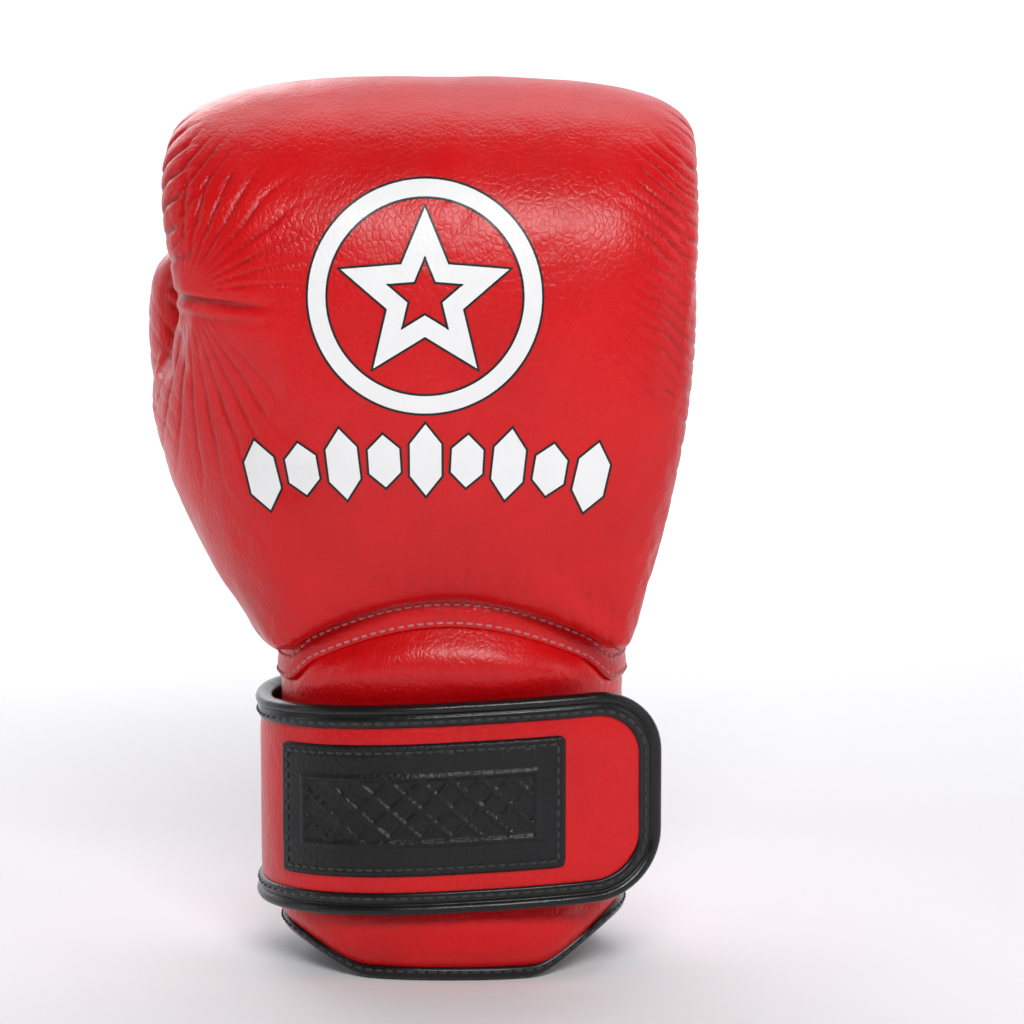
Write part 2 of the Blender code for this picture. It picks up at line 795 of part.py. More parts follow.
def make_badge(badge, along, over):
    """A round plain patch on the palm stretch of the strap."""
    places = [along - BADGE_RADIUS * math.cos(math.radians(a)) for a in spread(8.0, 172.0, 13)]

    def half_of(place):
        return math.sqrt(BADGE_RADIUS**2 - (place - along) ** 2)

    solid("round_badge", band_rings(places, over, TAPE_THICK, half_of), badge)


def make_loop_patch(loop):
    """The soft patch on the back of the cuff that the strap's hooks grip."""
    low, high = LOOP_HEIGHTS
    corners = ((-GAP, low), (-GAP, high), (-GAP - TAPE_THICK, high), (-GAP - TAPE_THICK, low))
    rings = []
    for angle in spread(*LOOP_ANGLES, 15):
        ring = []
        for depth, height in corners:
            x, y, _ = cuff_point(angle, (low + high) / 2, depth)
            ring.append((x, y, height))
        rings.append(ring)
    solid("loop_patch", rings, loop)


def main():
    clear_scene()
    red = material("red_leather", (0.60, 0.004, 0.006), 0.38)
    black = material("black_binding", (0.012, 0.012, 0.013), 0.32)
    label = material("black_label", (0.014, 0.014, 0.015), 0.55)
    fabric = material("lining_fabric", (0.02, 0.02, 0.022), 0.9)
    foam = material("foam", (0.75, 0.72, 0.62), 0.95)
    hook = material("hook_tape", (0.015, 0.015, 0.016), 0.8)
    loop = material("loop_tape", (0.02, 0.02, 0.021), 0.95)
    badge = material("badge_white", (0.85, 0.85, 0.85), 0.45)

    fist_volume = make_pad(red, foam)
    panel, lining, palm_volume = make_palm(red, fabric, foam)
    make_grip_bar(fabric)
    bore, thumb_volume = make_thumb(red, foam, fabric, fist_volume, palm_volume)
    cut(panel, bore)
    cut(lining, bore)
    make_tether(red, fist_volume, thumb_volume)
    make_cuff(red, black, foam, fabric, loop)
    make_strap(red, black, hook, label, badge)


main()
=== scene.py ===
"""The looks of a right-hand boxing glove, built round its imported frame.

Lengths in this script are millimetres in the wrist's own frame, whose middle is WRIST, until a mesh is made.
"""

import math

import bmesh
import bpy
import numpy as np
import openvdb
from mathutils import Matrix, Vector
from mathutils.bvhtree import BVHTree


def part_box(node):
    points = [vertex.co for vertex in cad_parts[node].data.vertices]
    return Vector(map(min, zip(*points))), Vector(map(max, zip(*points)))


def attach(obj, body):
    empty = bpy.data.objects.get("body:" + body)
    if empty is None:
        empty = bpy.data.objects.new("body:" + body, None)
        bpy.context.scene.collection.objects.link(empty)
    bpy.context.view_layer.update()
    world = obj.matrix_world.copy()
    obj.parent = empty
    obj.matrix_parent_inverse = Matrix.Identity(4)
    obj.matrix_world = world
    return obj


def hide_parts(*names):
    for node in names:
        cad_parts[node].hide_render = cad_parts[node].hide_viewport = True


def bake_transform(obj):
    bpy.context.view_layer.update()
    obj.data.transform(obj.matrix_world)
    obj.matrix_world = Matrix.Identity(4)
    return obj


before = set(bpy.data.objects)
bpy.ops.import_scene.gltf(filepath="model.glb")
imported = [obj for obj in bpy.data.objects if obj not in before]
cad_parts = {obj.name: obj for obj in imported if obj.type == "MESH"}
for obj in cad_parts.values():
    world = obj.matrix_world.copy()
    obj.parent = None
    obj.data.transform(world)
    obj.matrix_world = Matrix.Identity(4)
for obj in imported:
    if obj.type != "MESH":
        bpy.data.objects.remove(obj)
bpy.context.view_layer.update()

MM = 0.001
cuff_low, cuff_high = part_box("cuff_shell")
WRIST = Vector(((cuff_low[0] + cuff_high[0]) / 2, (cuff_low[1] + cuff_high[1]) / 2, 0.0))
CUFF_HALF = ((cuff_high[0] - cuff_low[0]) / 2 / MM, (cuff_high[1] - cuff_low[1]) / 2 / MM)
CUFF_SQUARE = 2.4
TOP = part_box("fist_shell")[1][2] / MM

# The padded hand, as a slab that curls over the knuckles
PAD_START = 108.0
PAD_STRAIGHT = 125.0
PAD_HALF = 25.0
ROLL_RADIUS = 41.0
ROLL_CENTRE = (3.0, TOP - PAD_HALF - ROLL_RADIUS)
ROLL_CAP = 26.0
PAD_LENGTH = PAD_STRAIGHT + math.pi * ROLL_RADIUS + 48.0
PAD_SQUARE = 2.9
# distance along the pad, reach to the thumb side, reach to the little finger, half thickness
PAD_STATIONS = np.array(
    (
        (0, 57, 59, 13),
        (22, 60, 65, 17),
        (56, 67, 73, 21.5),
        (92, 76, 79, 24.5),
        (125, 88, 81, 25),
        (157, 94, 82, 25),
        (189, 92, 82, 25),
        (222, 85, 80, 25),
        (254, 72, 78, 25),
        (279, 63, 75, 24.5),
        (302, 58, 70, 24),
    )
)
SEAM_ARCH = 21.0
SEAM_SIDE = 98.5
WELT_TALL = 9.0

# height, reach to the thumb side, reach to the little finger, palm face, back face
PALM_STATIONS = np.array(
    (
        (100, 54, 56, 42, -19),
        (125, 50, 58, 39.5, -16),
        (150, 50, 61, 33, -14),
        (175, 52, 61, 22, -12.3),
        (190, 53, 60, 16.5, -11.8),
        (206, 53, 58, 16.3, -11.6),
    )
)
PALM_SQUARE = 2.8
PALM_FULL = 2.4  # how far the padded palm stands proud of its panel

# x, y, z, radius along the thumb
THUMB_STATIONS = np.array(
    (
        (-44, 3, 122, 18),
        (-52, 6, 135, 20),
        (-63, 9, 152, 21),
        (-73, 12, 172, 22),
        (-80, 14, 193, 22.5),
        (-82.5, 15, 212, 21.5),
        (-83, 15, 226, 20),
    ),
    float,
)


# x, y, z, radius of the padding that carries the back of the hand over to the thumb
MOUND_STATIONS = np.array(
    (
        (-38, -16, 126, 15),
        (-52, -18, 150, 20),
        (-64, -18, 174, 22),
        (-70, -16, 194, 20),
        (-74, -12, 206, 15),
    ),
    float,
)


def smooth(share):
    share = np.clip(share, 0.0, 1.0)
    return share * share * (3.0 - 2.0 * share)


def along_stations(stations, where):
    """Each column of the stations at these places, through a smooth curve."""
    fine = np.linspace(stations[0, 0], stations[-1, 0], 200)
    columns = []
    for column in range(1, stations.shape[1]):
        slopes = np.gradient(stations[:, column], stations[:, 0])
        i = np.clip(np.searchsorted(stations[:, 0], fine) - 1, 0, len(stations) - 2)
        span = stations[i + 1, 0] - stations[i, 0]
        t = (fine - stations[i, 0]) / span
        a, b = stations[i, column], stations[i + 1, column]
        value = (2 * t**3 - 3 * t**2 + 1) * a + (t**3 - 2 * t**2 + t) * span * slopes[i]
        value += (3 * t**2 - 2 * t**3) * b + (t**3 - t**2) * span * slopes[i + 1]
        columns.append(np.interp(where, fine, value))
    return columns


def arch(x):
    return SEAM_ARCH * np.clip(1 - (x / CUFF_HALF[0]) ** 2, 0.0, None)


def seam_top(x, y):
    """Height of the welt's upper edge, where the padded hand begins."""
    return SEAM_SIDE + WELT_TALL + arch(x) * smooth((-y - 20.0) / 12.0)


def seam_low(x, y):
    return seam_top(x, y) - WELT_TALL


NOISE = np.random.default_rng(7).random((32, 32, 32))


def soft_noise(points, size, seed=0.0):
    """Smooth values from -1 to 1 that change over this many millimetres."""
    place = points / size + seed * 7.31
    cell = np.floor(place).astype(int)
    part = smooth(place - cell)
    total = np.zeros(len(points))
    for corner in np.ndindex(2, 2, 2):
        weight = np.prod(np.where(np.array(corner) == 1, part, 1 - part), axis=1)
        i, j, k = ((cell + corner) % 32).T
        total += weight * NOISE[i, j, k]
    return 2 * total - 1


# ---- shapes as distance fields ----

ROUGH_REACH = 20.0  # turns a field into a rough distance where there is no grid to measure on


def pad_place(y, z):
    """(distance along the pad, distance out from its middle) of these points."""
    centre_y, centre_z = ROLL_CENTRE
    arc = math.pi * ROLL_RADIUS
    turn = np.arctan2(z - centre_z, -(y - centre_y))
    share = np.clip((z - PAD_START) / PAD_STRAIGHT, 0, 1)
    middle = centre_y - ROLL_RADIUS + 4.5 * (1 - share) ** 2
    over = z >= centre_z
    back = ~over & (y < centre_y)
    along = np.where(over, PAD_STRAIGHT + turn * ROLL_RADIUS, PAD_STRAIGHT + arc + centre_z - z)
    along = np.where(back, z - PAD_START, along)
    out = np.where(over, np.hypot(y - centre_y, z - centre_z) - ROLL_RADIUS, y - centre_y - ROLL_RADIUS)
    out = np.where(back, middle - y, out)
    return along, out


def metric(field, step):
    """Turns a superellipse field, 1 on its surface, into a distance in millimetres."""
    if step is None:
        return (field - 1.0) * ROUGH_REACH
    slopes = np.gradient(field, step)
    steep = np.sqrt(sum(slope**2 for slope in slopes))
    return (field - 1.0) / np.maximum(steep, 1e-3)


def blend_min(a, b, width):
    """The nearer of two distances, rounded over this width where they meet."""
    mix = np.clip(0.5 + 0.5 * (b - a) / width, 0.0, 1.0)
    return b * (1 - mix) + a * mix - width * mix * (1 - mix)


def blend_max(a, b, width):
    return -blend_min(-a, -b, width)


def pad_field(x, y, z):
    along, out = pad_place(y, z)
    thumb, little, half = along_stations(PAD_STATIONS, along)
    middle, reach = (little - thumb) / 2, (little + thumb) / 2
    across, deep = np.abs((x - middle) / reach), np.abs(out / half)
    past = np.maximum(0.0, along - (PAD_LENGTH - ROLL_CAP)) / ROLL_CAP
    n = PAD_SQUARE
    field = np.maximum((across**n + deep**n + past**n) ** (1 / n), 1e-3)
    slopes = (across ** (n - 1) / reach, deep ** (n - 1) / half, past ** (n - 1) / ROLL_CAP)
    steep = field ** (1 - n) * np.sqrt(sum(slope**2 for slope in slopes))
    return (field - 1.0) / np.maximum(steep, 1e-3)


def thumb_line(count=25):
    """Points and radii along the thumb's middle."""
    index = np.arange(len(THUMB_STATIONS), dtype=float)
    table = np.column_stack((index, THUMB_STATIONS))
    return np.column_stack(along_stations(table, np.linspace(0, index[-1], count)))


def chain_field(x, y, z, line):
    """Distance to a chain of round cones through these points and radii."""
    best = np.full(x.shape, 1e3)
    for a, b in zip(line, line[1:]):
        way = b[:3] - a[:3]
        px, py, pz = x - a[0], y - a[1], z - a[2]
        share = np.clip((px * way[0] + py * way[1] + pz * way[2]) / (way @ way), 0, 1)
        gap = np.sqrt((px - share * way[0]) ** 2 + (py - share * way[1]) ** 2 + (pz - share * way[2]) ** 2)
        best = np.minimum(best, gap - (a[3] + (b[3] - a[3]) * share))
    return best


def thumb_field(x, y, z):
    return chain_field(x, y, z, thumb_line(13))


def mound_field(x, y, z):
    return chain_field(x, y, z, MOUND_STATIONS)


def palm_field(x, y, z, step):
    thumb, little, palm, back = along_stations(PALM_STATIONS, z)
    middle, reach = (little - thumb) / 2, (little + thumb) / 2 + PALM_FULL
    rise = np.where(y > back, palm + PALM_FULL - back, 14.0)
    past = np.maximum(0.0, z - 196.0) / 12.0
    field = np.abs((x - middle) / reach) ** PALM_SQUARE
    field += np.abs((y - back) / rise) ** PALM_SQUARE + past**3
    return metric(field ** (1 / PALM_SQUARE), step)


def web_field(x, y, z, step):
    """The leather that closes both ends of the fold between the back of the hand and the finger roll."""
    low, high = 172.0, 262.0
    middle_z = (low + high) / 2
    reach = 66.0
    field = np.abs((x - 3.0) / reach) ** 6
    field += np.abs((y - 2.0) / 20.0) ** 4 + np.abs((z - middle_z) / ((high - low) / 2)) ** 4
    return metric(field ** (1 / 4), step)


def pocket_field(x, y, z, step):
    """The space that the hand lining fills, a little larger than the lining."""
    height = np.minimum(z, 206.0)
    thumb, little, palm, back = along_stations(PALM_STATIONS, height)
    middle, reach = (little - thumb) / 2, (little + thumb) / 2 - 2.2
    rise = np.where(y > back, palm - 2.2 - back, 1.2)
    past = np.maximum(0.0, z - 232.0) / 12.0
    field = np.abs((x - middle) / reach) ** PALM_SQUARE + np.abs((y - back) / rise) ** PALM_SQUARE + past**3
    return metric(field ** (1 / PALM_SQUARE), step)


def grid_places(low, high, step):
    axes = [np.arange(a, b, step) for a, b in zip(low, high)]
    return np.meshgrid(*axes, indexing="ij")


def hand_field(step):
    """(distance grid, corner) of the whole padded hand, hollow where the hand goes."""
    low = np.array((-112.0, -74.0, 92.0))
    x, y, z = grid_places(low, (92.0, 80.0, TOP + 8), step)
    pad = pad_field(x, y, z)
    thumb = thumb_field(x, y, z)
    palm = palm_field(x, y, z, step)
    palm = blend_min(palm, web_field(x, y, z, step), 10.0)
    body = blend_min(pad, palm, 4.0)
    # The back of the hand runs into the thumb without a seam below the crotch.
    joined = 32.0 * (1 - smooth((z - 184.0) / 34.0)) + 1.5
    body = blend_min(body, mound_field(x, y, z), 26.0)
    body = blend_min(body, thumb, joined)
    body = blend_max(body, seam_top(x, y) - z, 7.0)
    body = blend_max(body, -pocket_field(x, y, z, step), 2.0)
    return body, low


# ---- meshes ----


def to_object(name, points, faces, look=None):
    """A piece from points in millimetres in the wrist's frame."""
    data = bpy.data.meshes.new(name)
    data.from_pydata([tuple(Vector(p) * MM + WRIST) for p in points], [], [tuple(map(int, f)) for f in faces])
    data.update()
    if look:
        data.materials.append(look)
    data.shade_smooth()
    obj = bpy.data.objects.new(name, data)
    bpy.context.scene.collection.objects.link(obj)
    return obj


def read_points(obj):
    points = np.empty(len(obj.data.vertices) * 3, np.float32)
    obj.data.vertices.foreach_get("co", points)
    return (points.reshape(-1, 3).astype(float) - np.array(WRIST)) / MM


def write_points(obj, points):
    world = points * MM + np.array(WRIST)
    obj.data.vertices.foreach_set("co", world.astype(np.float32).ravel())
    obj.data.update()


def read_normals(obj):
    normals = np.empty(len(obj.data.vertices) * 3, np.float32)
    obj.data.vertices.foreach_get("normal", normals)
    return normals.reshape(-1, 3).astype(float)


def apply_modifiers(obj):
    """Replaces the object's mesh with what its modifiers make of it."""
    graph = bpy.context.evaluated_depsgraph_get()
    made = bpy.data.meshes.new_from_object(obj.evaluated_get(graph))
    old = obj.data
    obj.modifiers.clear()
    obj.data = made
    bpy.data.meshes.remove(old)


def relax(obj, rounds):
    """Evens the mesh out."""
    modifier = obj.modifiers.new("relax", "SMOOTH")
    modifier.factor, modifier.iterations = 0.5, rounds
    apply_modifiers(obj)


def subdivide(obj, levels):
    modifier = obj.modifiers.new("finer", "SUBSURF")
    modifier.levels = modifier.render_levels = levels
    apply_modifiers(obj)


# ---- materials ----


class Look:
    """A Principled material and short ways to add nodes to it."""

    def __init__(self, name):
        self.material = bpy.data.materials.new(name)
        self.material.use_nodes = True
        self.tree = self.material.node_tree
        self.shader = self.tree.nodes["Principled BSDF"]
        self.where = self.tree.nodes.new("ShaderNodeTexCoord").outputs["Object"]

    def node(self, kind, inputs=(), **settings):
        made = self.tree.nodes.new(kind)
        for key, value in settings.items():
            setattr(made, key, value)
        for key, value in dict(inputs).items():
            if isinstance(value, bpy.types.NodeSocket):
                self.tree.links.new(value, made.inputs[key])
            else:
                made.inputs[key].default_value = value
        return made

    def noise(self, scale, detail=3.0, rough=0.5, where=None):
        inputs = {"Vector": where or self.where, "Scale": scale, "Detail": detail, "Roughness": rough}
        return self.node("ShaderNodeTexNoise", inputs).outputs["Fac"]

    def cells(self, scale, where=None, feature="F1"):
        inputs = {"Vector": where or self.where, "Scale": scale}
        return self.node("ShaderNodeTexVoronoi", inputs, feature=feature).outputs["Distance"]

    def spread(self, value, low, high, to_low=0.0, to_high=1.0):
        inputs = {"Value": value, "From Min": low, "From Max": high, "To Min": to_low, "To Max": to_high}
        return self.node("ShaderNodeMapRange", inputs, clamp=True).outputs["Result"]

    def maths(self, operation, a, b=0.0):
        return self.node("ShaderNodeMath", {0: a, 1: b}, operation=operation).outputs[0]

    def mix(self, factor, a, b):
        made = self.node("ShaderNodeMix", {"Factor": factor}, data_type="RGBA")
        for socket, value in ((made.inputs["A"], a), (made.inputs["B"], b)):
            if isinstance(value, bpy.types.NodeSocket):
                self.tree.links.new(value, socket)
            else:
                socket.default_value = (*value, 1.0)
        return made.outputs["Result"]

    def attribute(self, name):
        return self.node("ShaderNodeAttribute", attribute_name=name).outputs["Fac"]

    def bump(self, height, distance, strength=1.0, below=None):
        inputs = {"Height": height, "Distance": distance, "Strength": strength}
        if below is not None:
            inputs["Normal"] = below
        return self.node("ShaderNodeBump", inputs).outputs["Normal"]

    def join(self, value, socket):
        self.tree.links.new(value, self.shader.inputs[socket])

    def fixed(self, **values):
        for key, value in values.items():
            self.shader.inputs[key.replace("_", " ")].default_value = value


def leather(name, colour, deep, roughness, grain_size, grain_height, coat=0.2):
    """Grained leather: pebbles, fine lines between them, slow changes of colour and of shine, and painted
    shade darkening the folds.
    """
    look = Look(name)
    wander = look.noise(9.0, 2.0)
    worn = look.noise(38.0, 4.0, 0.6)
    tone = look.maths("ADD", look.maths("MULTIPLY", wander, 0.6), look.maths("MULTIPLY", worn, 0.4))
    base = look.mix(look.spread(tone, 0.36, 0.64), deep, colour)
    # Painted shade: the colour darkens towards a third of the deep tone where the crease attribute marks a
    # fold.
    crease = look.attribute("crease")
    look.join(look.mix(look.spread(crease, 0.0, 1.0, 0.0, 0.8), base, [c * 0.3 for c in deep]), "Base Color")
    shine = look.spread(look.noise(60.0, 3.0), 0.3, 0.7, roughness - 0.05, roughness + 0.06)
    look.join(shine, "Roughness")
    where = look.node("ShaderNodeMapping", {"Vector": look.where, "Scale": (1.0, 1.0, 0.72)}).outputs[0]
    pebbles = look.cells(1000.0 / grain_size, where, "SMOOTH_F1")
    lines = look.cells(560.0 / grain_size, where, "DISTANCE_TO_EDGE")
    fine = look.noise(2600.0 / grain_size, 3.0, 0.6)
    height = look.maths("SUBTRACT", look.spread(lines, 0.0, 0.22), look.maths("MULTIPLY", pebbles, 0.7))
    height = look.maths("ADD", height, look.maths("MULTIPLY", fine, 0.35))
    ripple = look.bump(look.noise(120.0, 3.0, 0.55), 0.0012, 0.35)
    look.join(look.bump(height, grain_height * MM, 0.75, below=ripple), "Normal")
    look.fixed(Coat_Weight=coat, Coat_Roughness=0.26, Specular_IOR_Level=0.3)
    return look.material


def cloth_look(name, colour, pitch=0.9):
    """A matt woven lining."""
    look = Look(name)
    place = look.node("ShaderNodeSeparateXYZ", {"Vector": look.where})
    around = look.maths("ADD", place.outputs[0], place.outputs[1])
    wave = 2 * math.pi / (pitch * MM)
    warp = look.maths("SINE", look.maths("MULTIPLY", around, wave))
    weft = look.maths("SINE", look.maths("MULTIPLY", place.outputs[2], wave))
    weave = look.maths("MULTIPLY", warp, weft)
    fuzz = look.noise(900.0, 4.0, 0.65)
    tone = look.maths("ADD", look.maths("MULTIPLY", weave, 0.2), fuzz)
    look.join(look.mix(look.spread(tone, 0.2, 0.9), [c * 0.55 for c in colour], colour), "Base Color")
    look.join(look.bump(tone, 0.0003, 0.6), "Normal")
    look.fixed(Roughness=0.92, Sheen_Weight=0.25)
    return look.material


def thread_look(name, colour):
    """Twisted thread, with its strands as slanting lines."""
    look = Look(name)
    place = look.node("ShaderNodeSeparateXYZ", {"Vector": look.where})
    slant = look.maths("ADD", look.maths("ADD", place.outputs[0], place.outputs[1]), place.outputs[2])
    strands = look.maths("SINE", look.maths("MULTIPLY", slant, 9000.0))
    fuzz = look.noise(2500.0, 3.0)
    tone = look.maths("ADD", look.maths("MULTIPLY", strands, 0.25), fuzz)
    look.join(look.mix(look.spread(tone, 0.2, 0.8), [c * 0.6 for c in colour], colour), "Base Color")
    look.join(look.bump(tone, 0.0001, 0.6), "Normal")
    look.fixed(Roughness=0.7, Sheen_Weight=0.2)
    return look.material


RED = leather("red_leather", (0.66, 0.0035, 0.006), (0.52, 0.002, 0.004), 0.34, 1.15, 0.085, coat=0.12)
BLACK = leather("black_binding", (0.007, 0.007, 0.0075), (0.004, 0.004, 0.0045), 0.3, 1.3, 0.04)
LABEL = leather("black_label", (0.009, 0.009, 0.01), (0.005, 0.005, 0.0055), 0.42, 1.5, 0.15, coat=0.05)
PRINT_WHITE = leather("print_white", (0.86, 0.86, 0.86), (0.8, 0.8, 0.8), 0.4, 1.15, 0.035, coat=0.1)
PRINT_BLACK = leather("print_black", (0.012, 0.012, 0.012), (0.008, 0.008, 0.008), 0.4, 1.15, 0.035, coat=0.1)
FABRIC = cloth_look("lining_fabric", (0.016, 0.016, 0.018))
THREAD = thread_look("white_thread", (0.62, 0.2, 0.2))
BLACK_THREAD = thread_look("black_thread", (0.03, 0.03, 0.032))


# ---- padded hand ----

HAND_STEP = 3.0  # the hand's grid
# How strongly a fold's bend turns into painted shade on the leather
CREASE_SHADE_GAIN = 5.0
SKIN_CAP = 3.5  # how far the air may push the leather
CROTCH = (-84.0, 229.0)
THUMB_STITCH_REACH = 23.0  # the stitches over the thumb's tip are looked for from this far off


def skin(name, body, low, step):
    """A red skin where the field on this grid is zero."""
    grid = openvdb.FloatGrid(50.0)
    grid.copyFromArray(np.ascontiguousarray(body, np.float32))
    points, faces = grid.convertToQuads(0.0)
    return to_object(name, points.astype(float) * step + low, faces, RED)


def neighbours(obj):
    """The points at either end of each edge."""
    edges = np.empty(len(obj.data.edges) * 2, np.int32)
    obj.data.edges.foreach_get("vertices", edges)
    return edges.reshape(-1, 2).T


def even_out(obj, values, rounds):
    """The values, one for each point, averaged over their neighbours this many times."""
    a, b = neighbours(obj)
    count = np.zeros(len(values))
    np.add.at(count, a, 1.0)
    np.add.at(count, b, 1.0)
    for _ in range(rounds):
        spread = np.zeros(values.shape)
        np.add.at(spread, a, values[b])
        np.add.at(spread, b, values[a])
        values = 0.5 * values + 0.5 * (spread.T / np.maximum(count, 1)).T
    return values


def mark(obj, name, values):
    """Keeps a value for each point, which a material reads by this name."""
    attribute = obj.data.attributes.new(name, "FLOAT", "POINT")
    attribute.data.foreach_set("value", values.ravel().astype(np.float32))


def mark_crease_shade(obj):
    """Marks how deep each point lies in a fold, for the painted shade that darkens the leather there."""
    points, normals = read_points(obj), read_normals(obj)
    a, b = neighbours(obj)
    way = points[b] - points[a]
    length = np.maximum(np.linalg.norm(way, axis=1), 1e-6)
    bend = np.einsum("ij,ij->i", normals[b] - normals[a], way) / length**2
    total, count = np.zeros(len(points)), np.zeros(len(points))
    for end in (a, b):
        np.add.at(total, end, bend)
        np.add.at(count, end, 1.0)
    hollow = np.clip(-total / np.maximum(count, 1) * CREASE_SHADE_GAIN - 0.2, 0.0, 1.0)
    mark(obj, "crease", even_out(obj, hollow, 3))


def puff(obj, held):
    """Blows the piece up as cloth, with these points held, and moves none further than the cap."""
    pressure, frames = 4.0, 20
    start = read_points(obj)
    group = obj.vertex_groups.new(name="held")
    group.add([int(i) for i in np.flatnonzero(held)], 1.0, "REPLACE")
    cloth = obj.modifiers.new("puff", "CLOTH")
    settings = cloth.settings
    settings.quality, settings.mass = 4, 0.3
    settings.use_pressure, settings.uniform_pressure_force = True, pressure
    settings.effector_weights.gravity = 0.0
    settings.vertex_group_mass = "held"
    cloth.point_cache.frame_start, cloth.point_cache.frame_end = 1, frames
    for frame_number in range(1, frames + 1):
        bpy.context.scene.frame_set(frame_number)
    apply_modifiers(obj)
    bpy.context.scene.frame_set(1)
    travel = read_points(obj) - start
    length = np.linalg.norm(travel, axis=1, keepdims=True)
    write_points(obj, start + travel * np.minimum(1.0, SKIN_CAP / np.maximum(length, 1e-6)))
    obj.vertex_groups.clear()


def window(value, start, full, fall=None, end=None):
    """Rises from start to full, and falls again from fall to end."""
    level = smooth((value - start) / (full - start))
    if fall is not None:
        level = level * (1 - smooth((value - fall) / (end - fall)))
    return level


def folds(phase, sharp=2.6):
    """Narrow valleys, one at each whole step of the phase, from 0 to 1 deep."""
    return (1 - np.abs(np.sin(math.pi * phase))) ** sharp


def fold_mix(points, phase, size, seed):
    """Folds whose depth and place wander, so that no two are alike."""
    wander = 0.32 * soft_noise(points, size, seed) + 0.16 * soft_noise(points, size * 0.4, seed + 1)
    depth = 0.62 + 0.5 * soft_noise(points, size * 0.8, seed + 2)
    return folds(phase + wander) * np.clip(depth, 0.1, 1.2)


def thumb_seam_x(z):
    return np.interp(z, THUMB_STATIONS[:, 2], THUMB_STATIONS[:, 0])


def hand_wrinkles(points, normals):
    """How deep the leather lies below its smooth form, in millimetres."""
    x, y, z = points.T
    side_x = np.abs(normals[:, 0])
    on_back = window(-normals[:, 1], -0.35, 0.1)
    along_x, along_z = x - CROTCH[0], z - CROTCH[1]
    reach = np.hypot(along_x, along_z)
    angle = np.degrees(np.arctan2(along_z, along_x))

    # Fine puckers that slant down to the right along the little finger's edge
    fine = window(x, 50, 76) * window(z, 182, 205, 262, 296) * on_back
    depth = 0.75 * fine * fold_mix(points, (z + 0.8 * x) / 5.2, 17.0, 1)
    depth += 0.5 * window(x, 62, 80) * window(z, 120, 150, 190, 215) * on_back * fold_mix(
        points, (z + 0.5 * x) / 9.0, 21.0, 2
    )

    # Folds that rise from the thumb's crotch over the edge of the fist
    rise = window(reach, 2, 9, 16, 62) * window(angle, -12, 12, 80, 112) * on_back * window(z, 222, 228)
    depth += 0.95 * rise * fold_mix(points, angle / 11.0 + reach / 60.0, 26.0, 3)
    edge = window(-x, 60, 84) * window(z, 236, 246, 268, 292) * on_back
    depth += 0.75 * edge * fold_mix(points, (z - 1.15 * x) / 7.5, 24.0, 4)

    # One long crease from the crotch across the fist
    bend = z - (226.5 - 0.16 * (x + 84) + 0.0035 * (x + 84) ** 2)
    crease = np.exp(-((bend / 1.5) ** 2)) + 0.35 * np.exp(-(((bend + 5.5) / 1.7) ** 2))
    depth += 1.7 * crease * window(-x, 52, 72) * on_back * window(-y, -2, 8)

    # Long folds that fan down over the root of the thumb
    down = window(reach, 6, 16, 34, 78) * window(-angle, 38, 56, 96, 122) * window(-y, -30, -10)
    depth += 1.15 * down * fold_mix(points, angle / 8.0, 30.0, 5)
    outer = window(-x, 84, 96) * window(z, 160, 188, 222, 240)
    depth += 0.4 * outer * fold_mix(points, (z + 1.3 * x) / 8.5, 25.0, 6)

    # Gathers all round the curl at both of its ends
    centre_y, centre_z = ROLL_CENTRE
    from_curl = np.hypot(y - centre_y, z - centre_z)
    turn = np.degrees(np.arctan2(z - centre_z, y - centre_y))
    gathered = window(side_x, 0.25, 0.75) * window(from_curl, 12, 22, 46, 70)
    gathered *= window(np.abs(x), 48, 62) * window(z, 205, 225) * window(turn + 30, -20, 20, 200, 240)
    depth += 1.7 * gathered * fold_mix(points, turn / 10.0, 30.0, 7)
    palm_edge = window(side_x, 0.2, 0.6) * window(y, 18, 30) * window(z, 178, 190, 225, 240)
    depth += 0.45 * palm_edge * fold_mix(points, z / 9.0, 20.0, 8)

    # The seam along the thumb and over its tip
    aside = x - thumb_seam_x(z)
    on_seam = window(-thumb_field(x, y, z), -7, -4) * np.maximum(window(y, 2, 8), window(z, 214, 220))
    on_seam *= window(z, 124, 132)
    groove, lips = np.exp(-((aside / 0.95) ** 2)), np.exp(-(((np.abs(aside) - 2.2) / 1.2) ** 2))
    depth += on_seam * (0.9 * groove - 0.25 * lips)
    depth += 0.4 * on_seam * np.exp(-((aside / 7.0) ** 2)) * fold_mix(points, (z + 0.4 * y) / 5.5, 16.0, 13)

    # Slack leather everywhere
    depth += 0.5 * soft_noise(points, 44.0, 9) + 0.16 * soft_noise(points, 15.0, 10)
    depth += 0.07 * soft_noise(points, 6.0, 11)
    near_lip = window(z - seam_top(x, y), -4, 1, 6, 22) * window(-y, 12, 22)
    depth += 0.35 * near_lip * fold_mix(points, x / 6.5, 16.0, 12)
    return depth


def make_hand():
    """The whole red padded hand with its thumb, as one sewn skin."""
    hand = skin("hand_skin", *hand_field(HAND_STEP), HAND_STEP)
    relax(hand, 2)
    points = read_points(hand)
    x, y, z = points.T
    inside = pocket_field(x, y, z, None) < 3.5
    held = inside | (z < seam_top(x, y) + 5.0)
    puff(hand, held)
    subdivide(hand, 2)
    normals = even_out(hand, read_normals(hand), 6)
    points = read_points(hand)
    inside = pocket_field(*points.T, None)
    depth = hand_wrinkles(points, normals) * window(inside, 2.0, 6.0)
    write_points(hand, points - read_normals(hand) * depth[:, None])
    # Painted shade in the folds of the hand's leather
    mark_crease_shade(hand)
    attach(hand, "glove")
    shells = ("fist_shell", "thumb_shell", "palm_panel")
    foams = ("knuckle_foam_outer", "knuckle_foam_inner", "finger_roll_foam", "thumb_foam")
    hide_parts(*shells, *foams)
    return hand


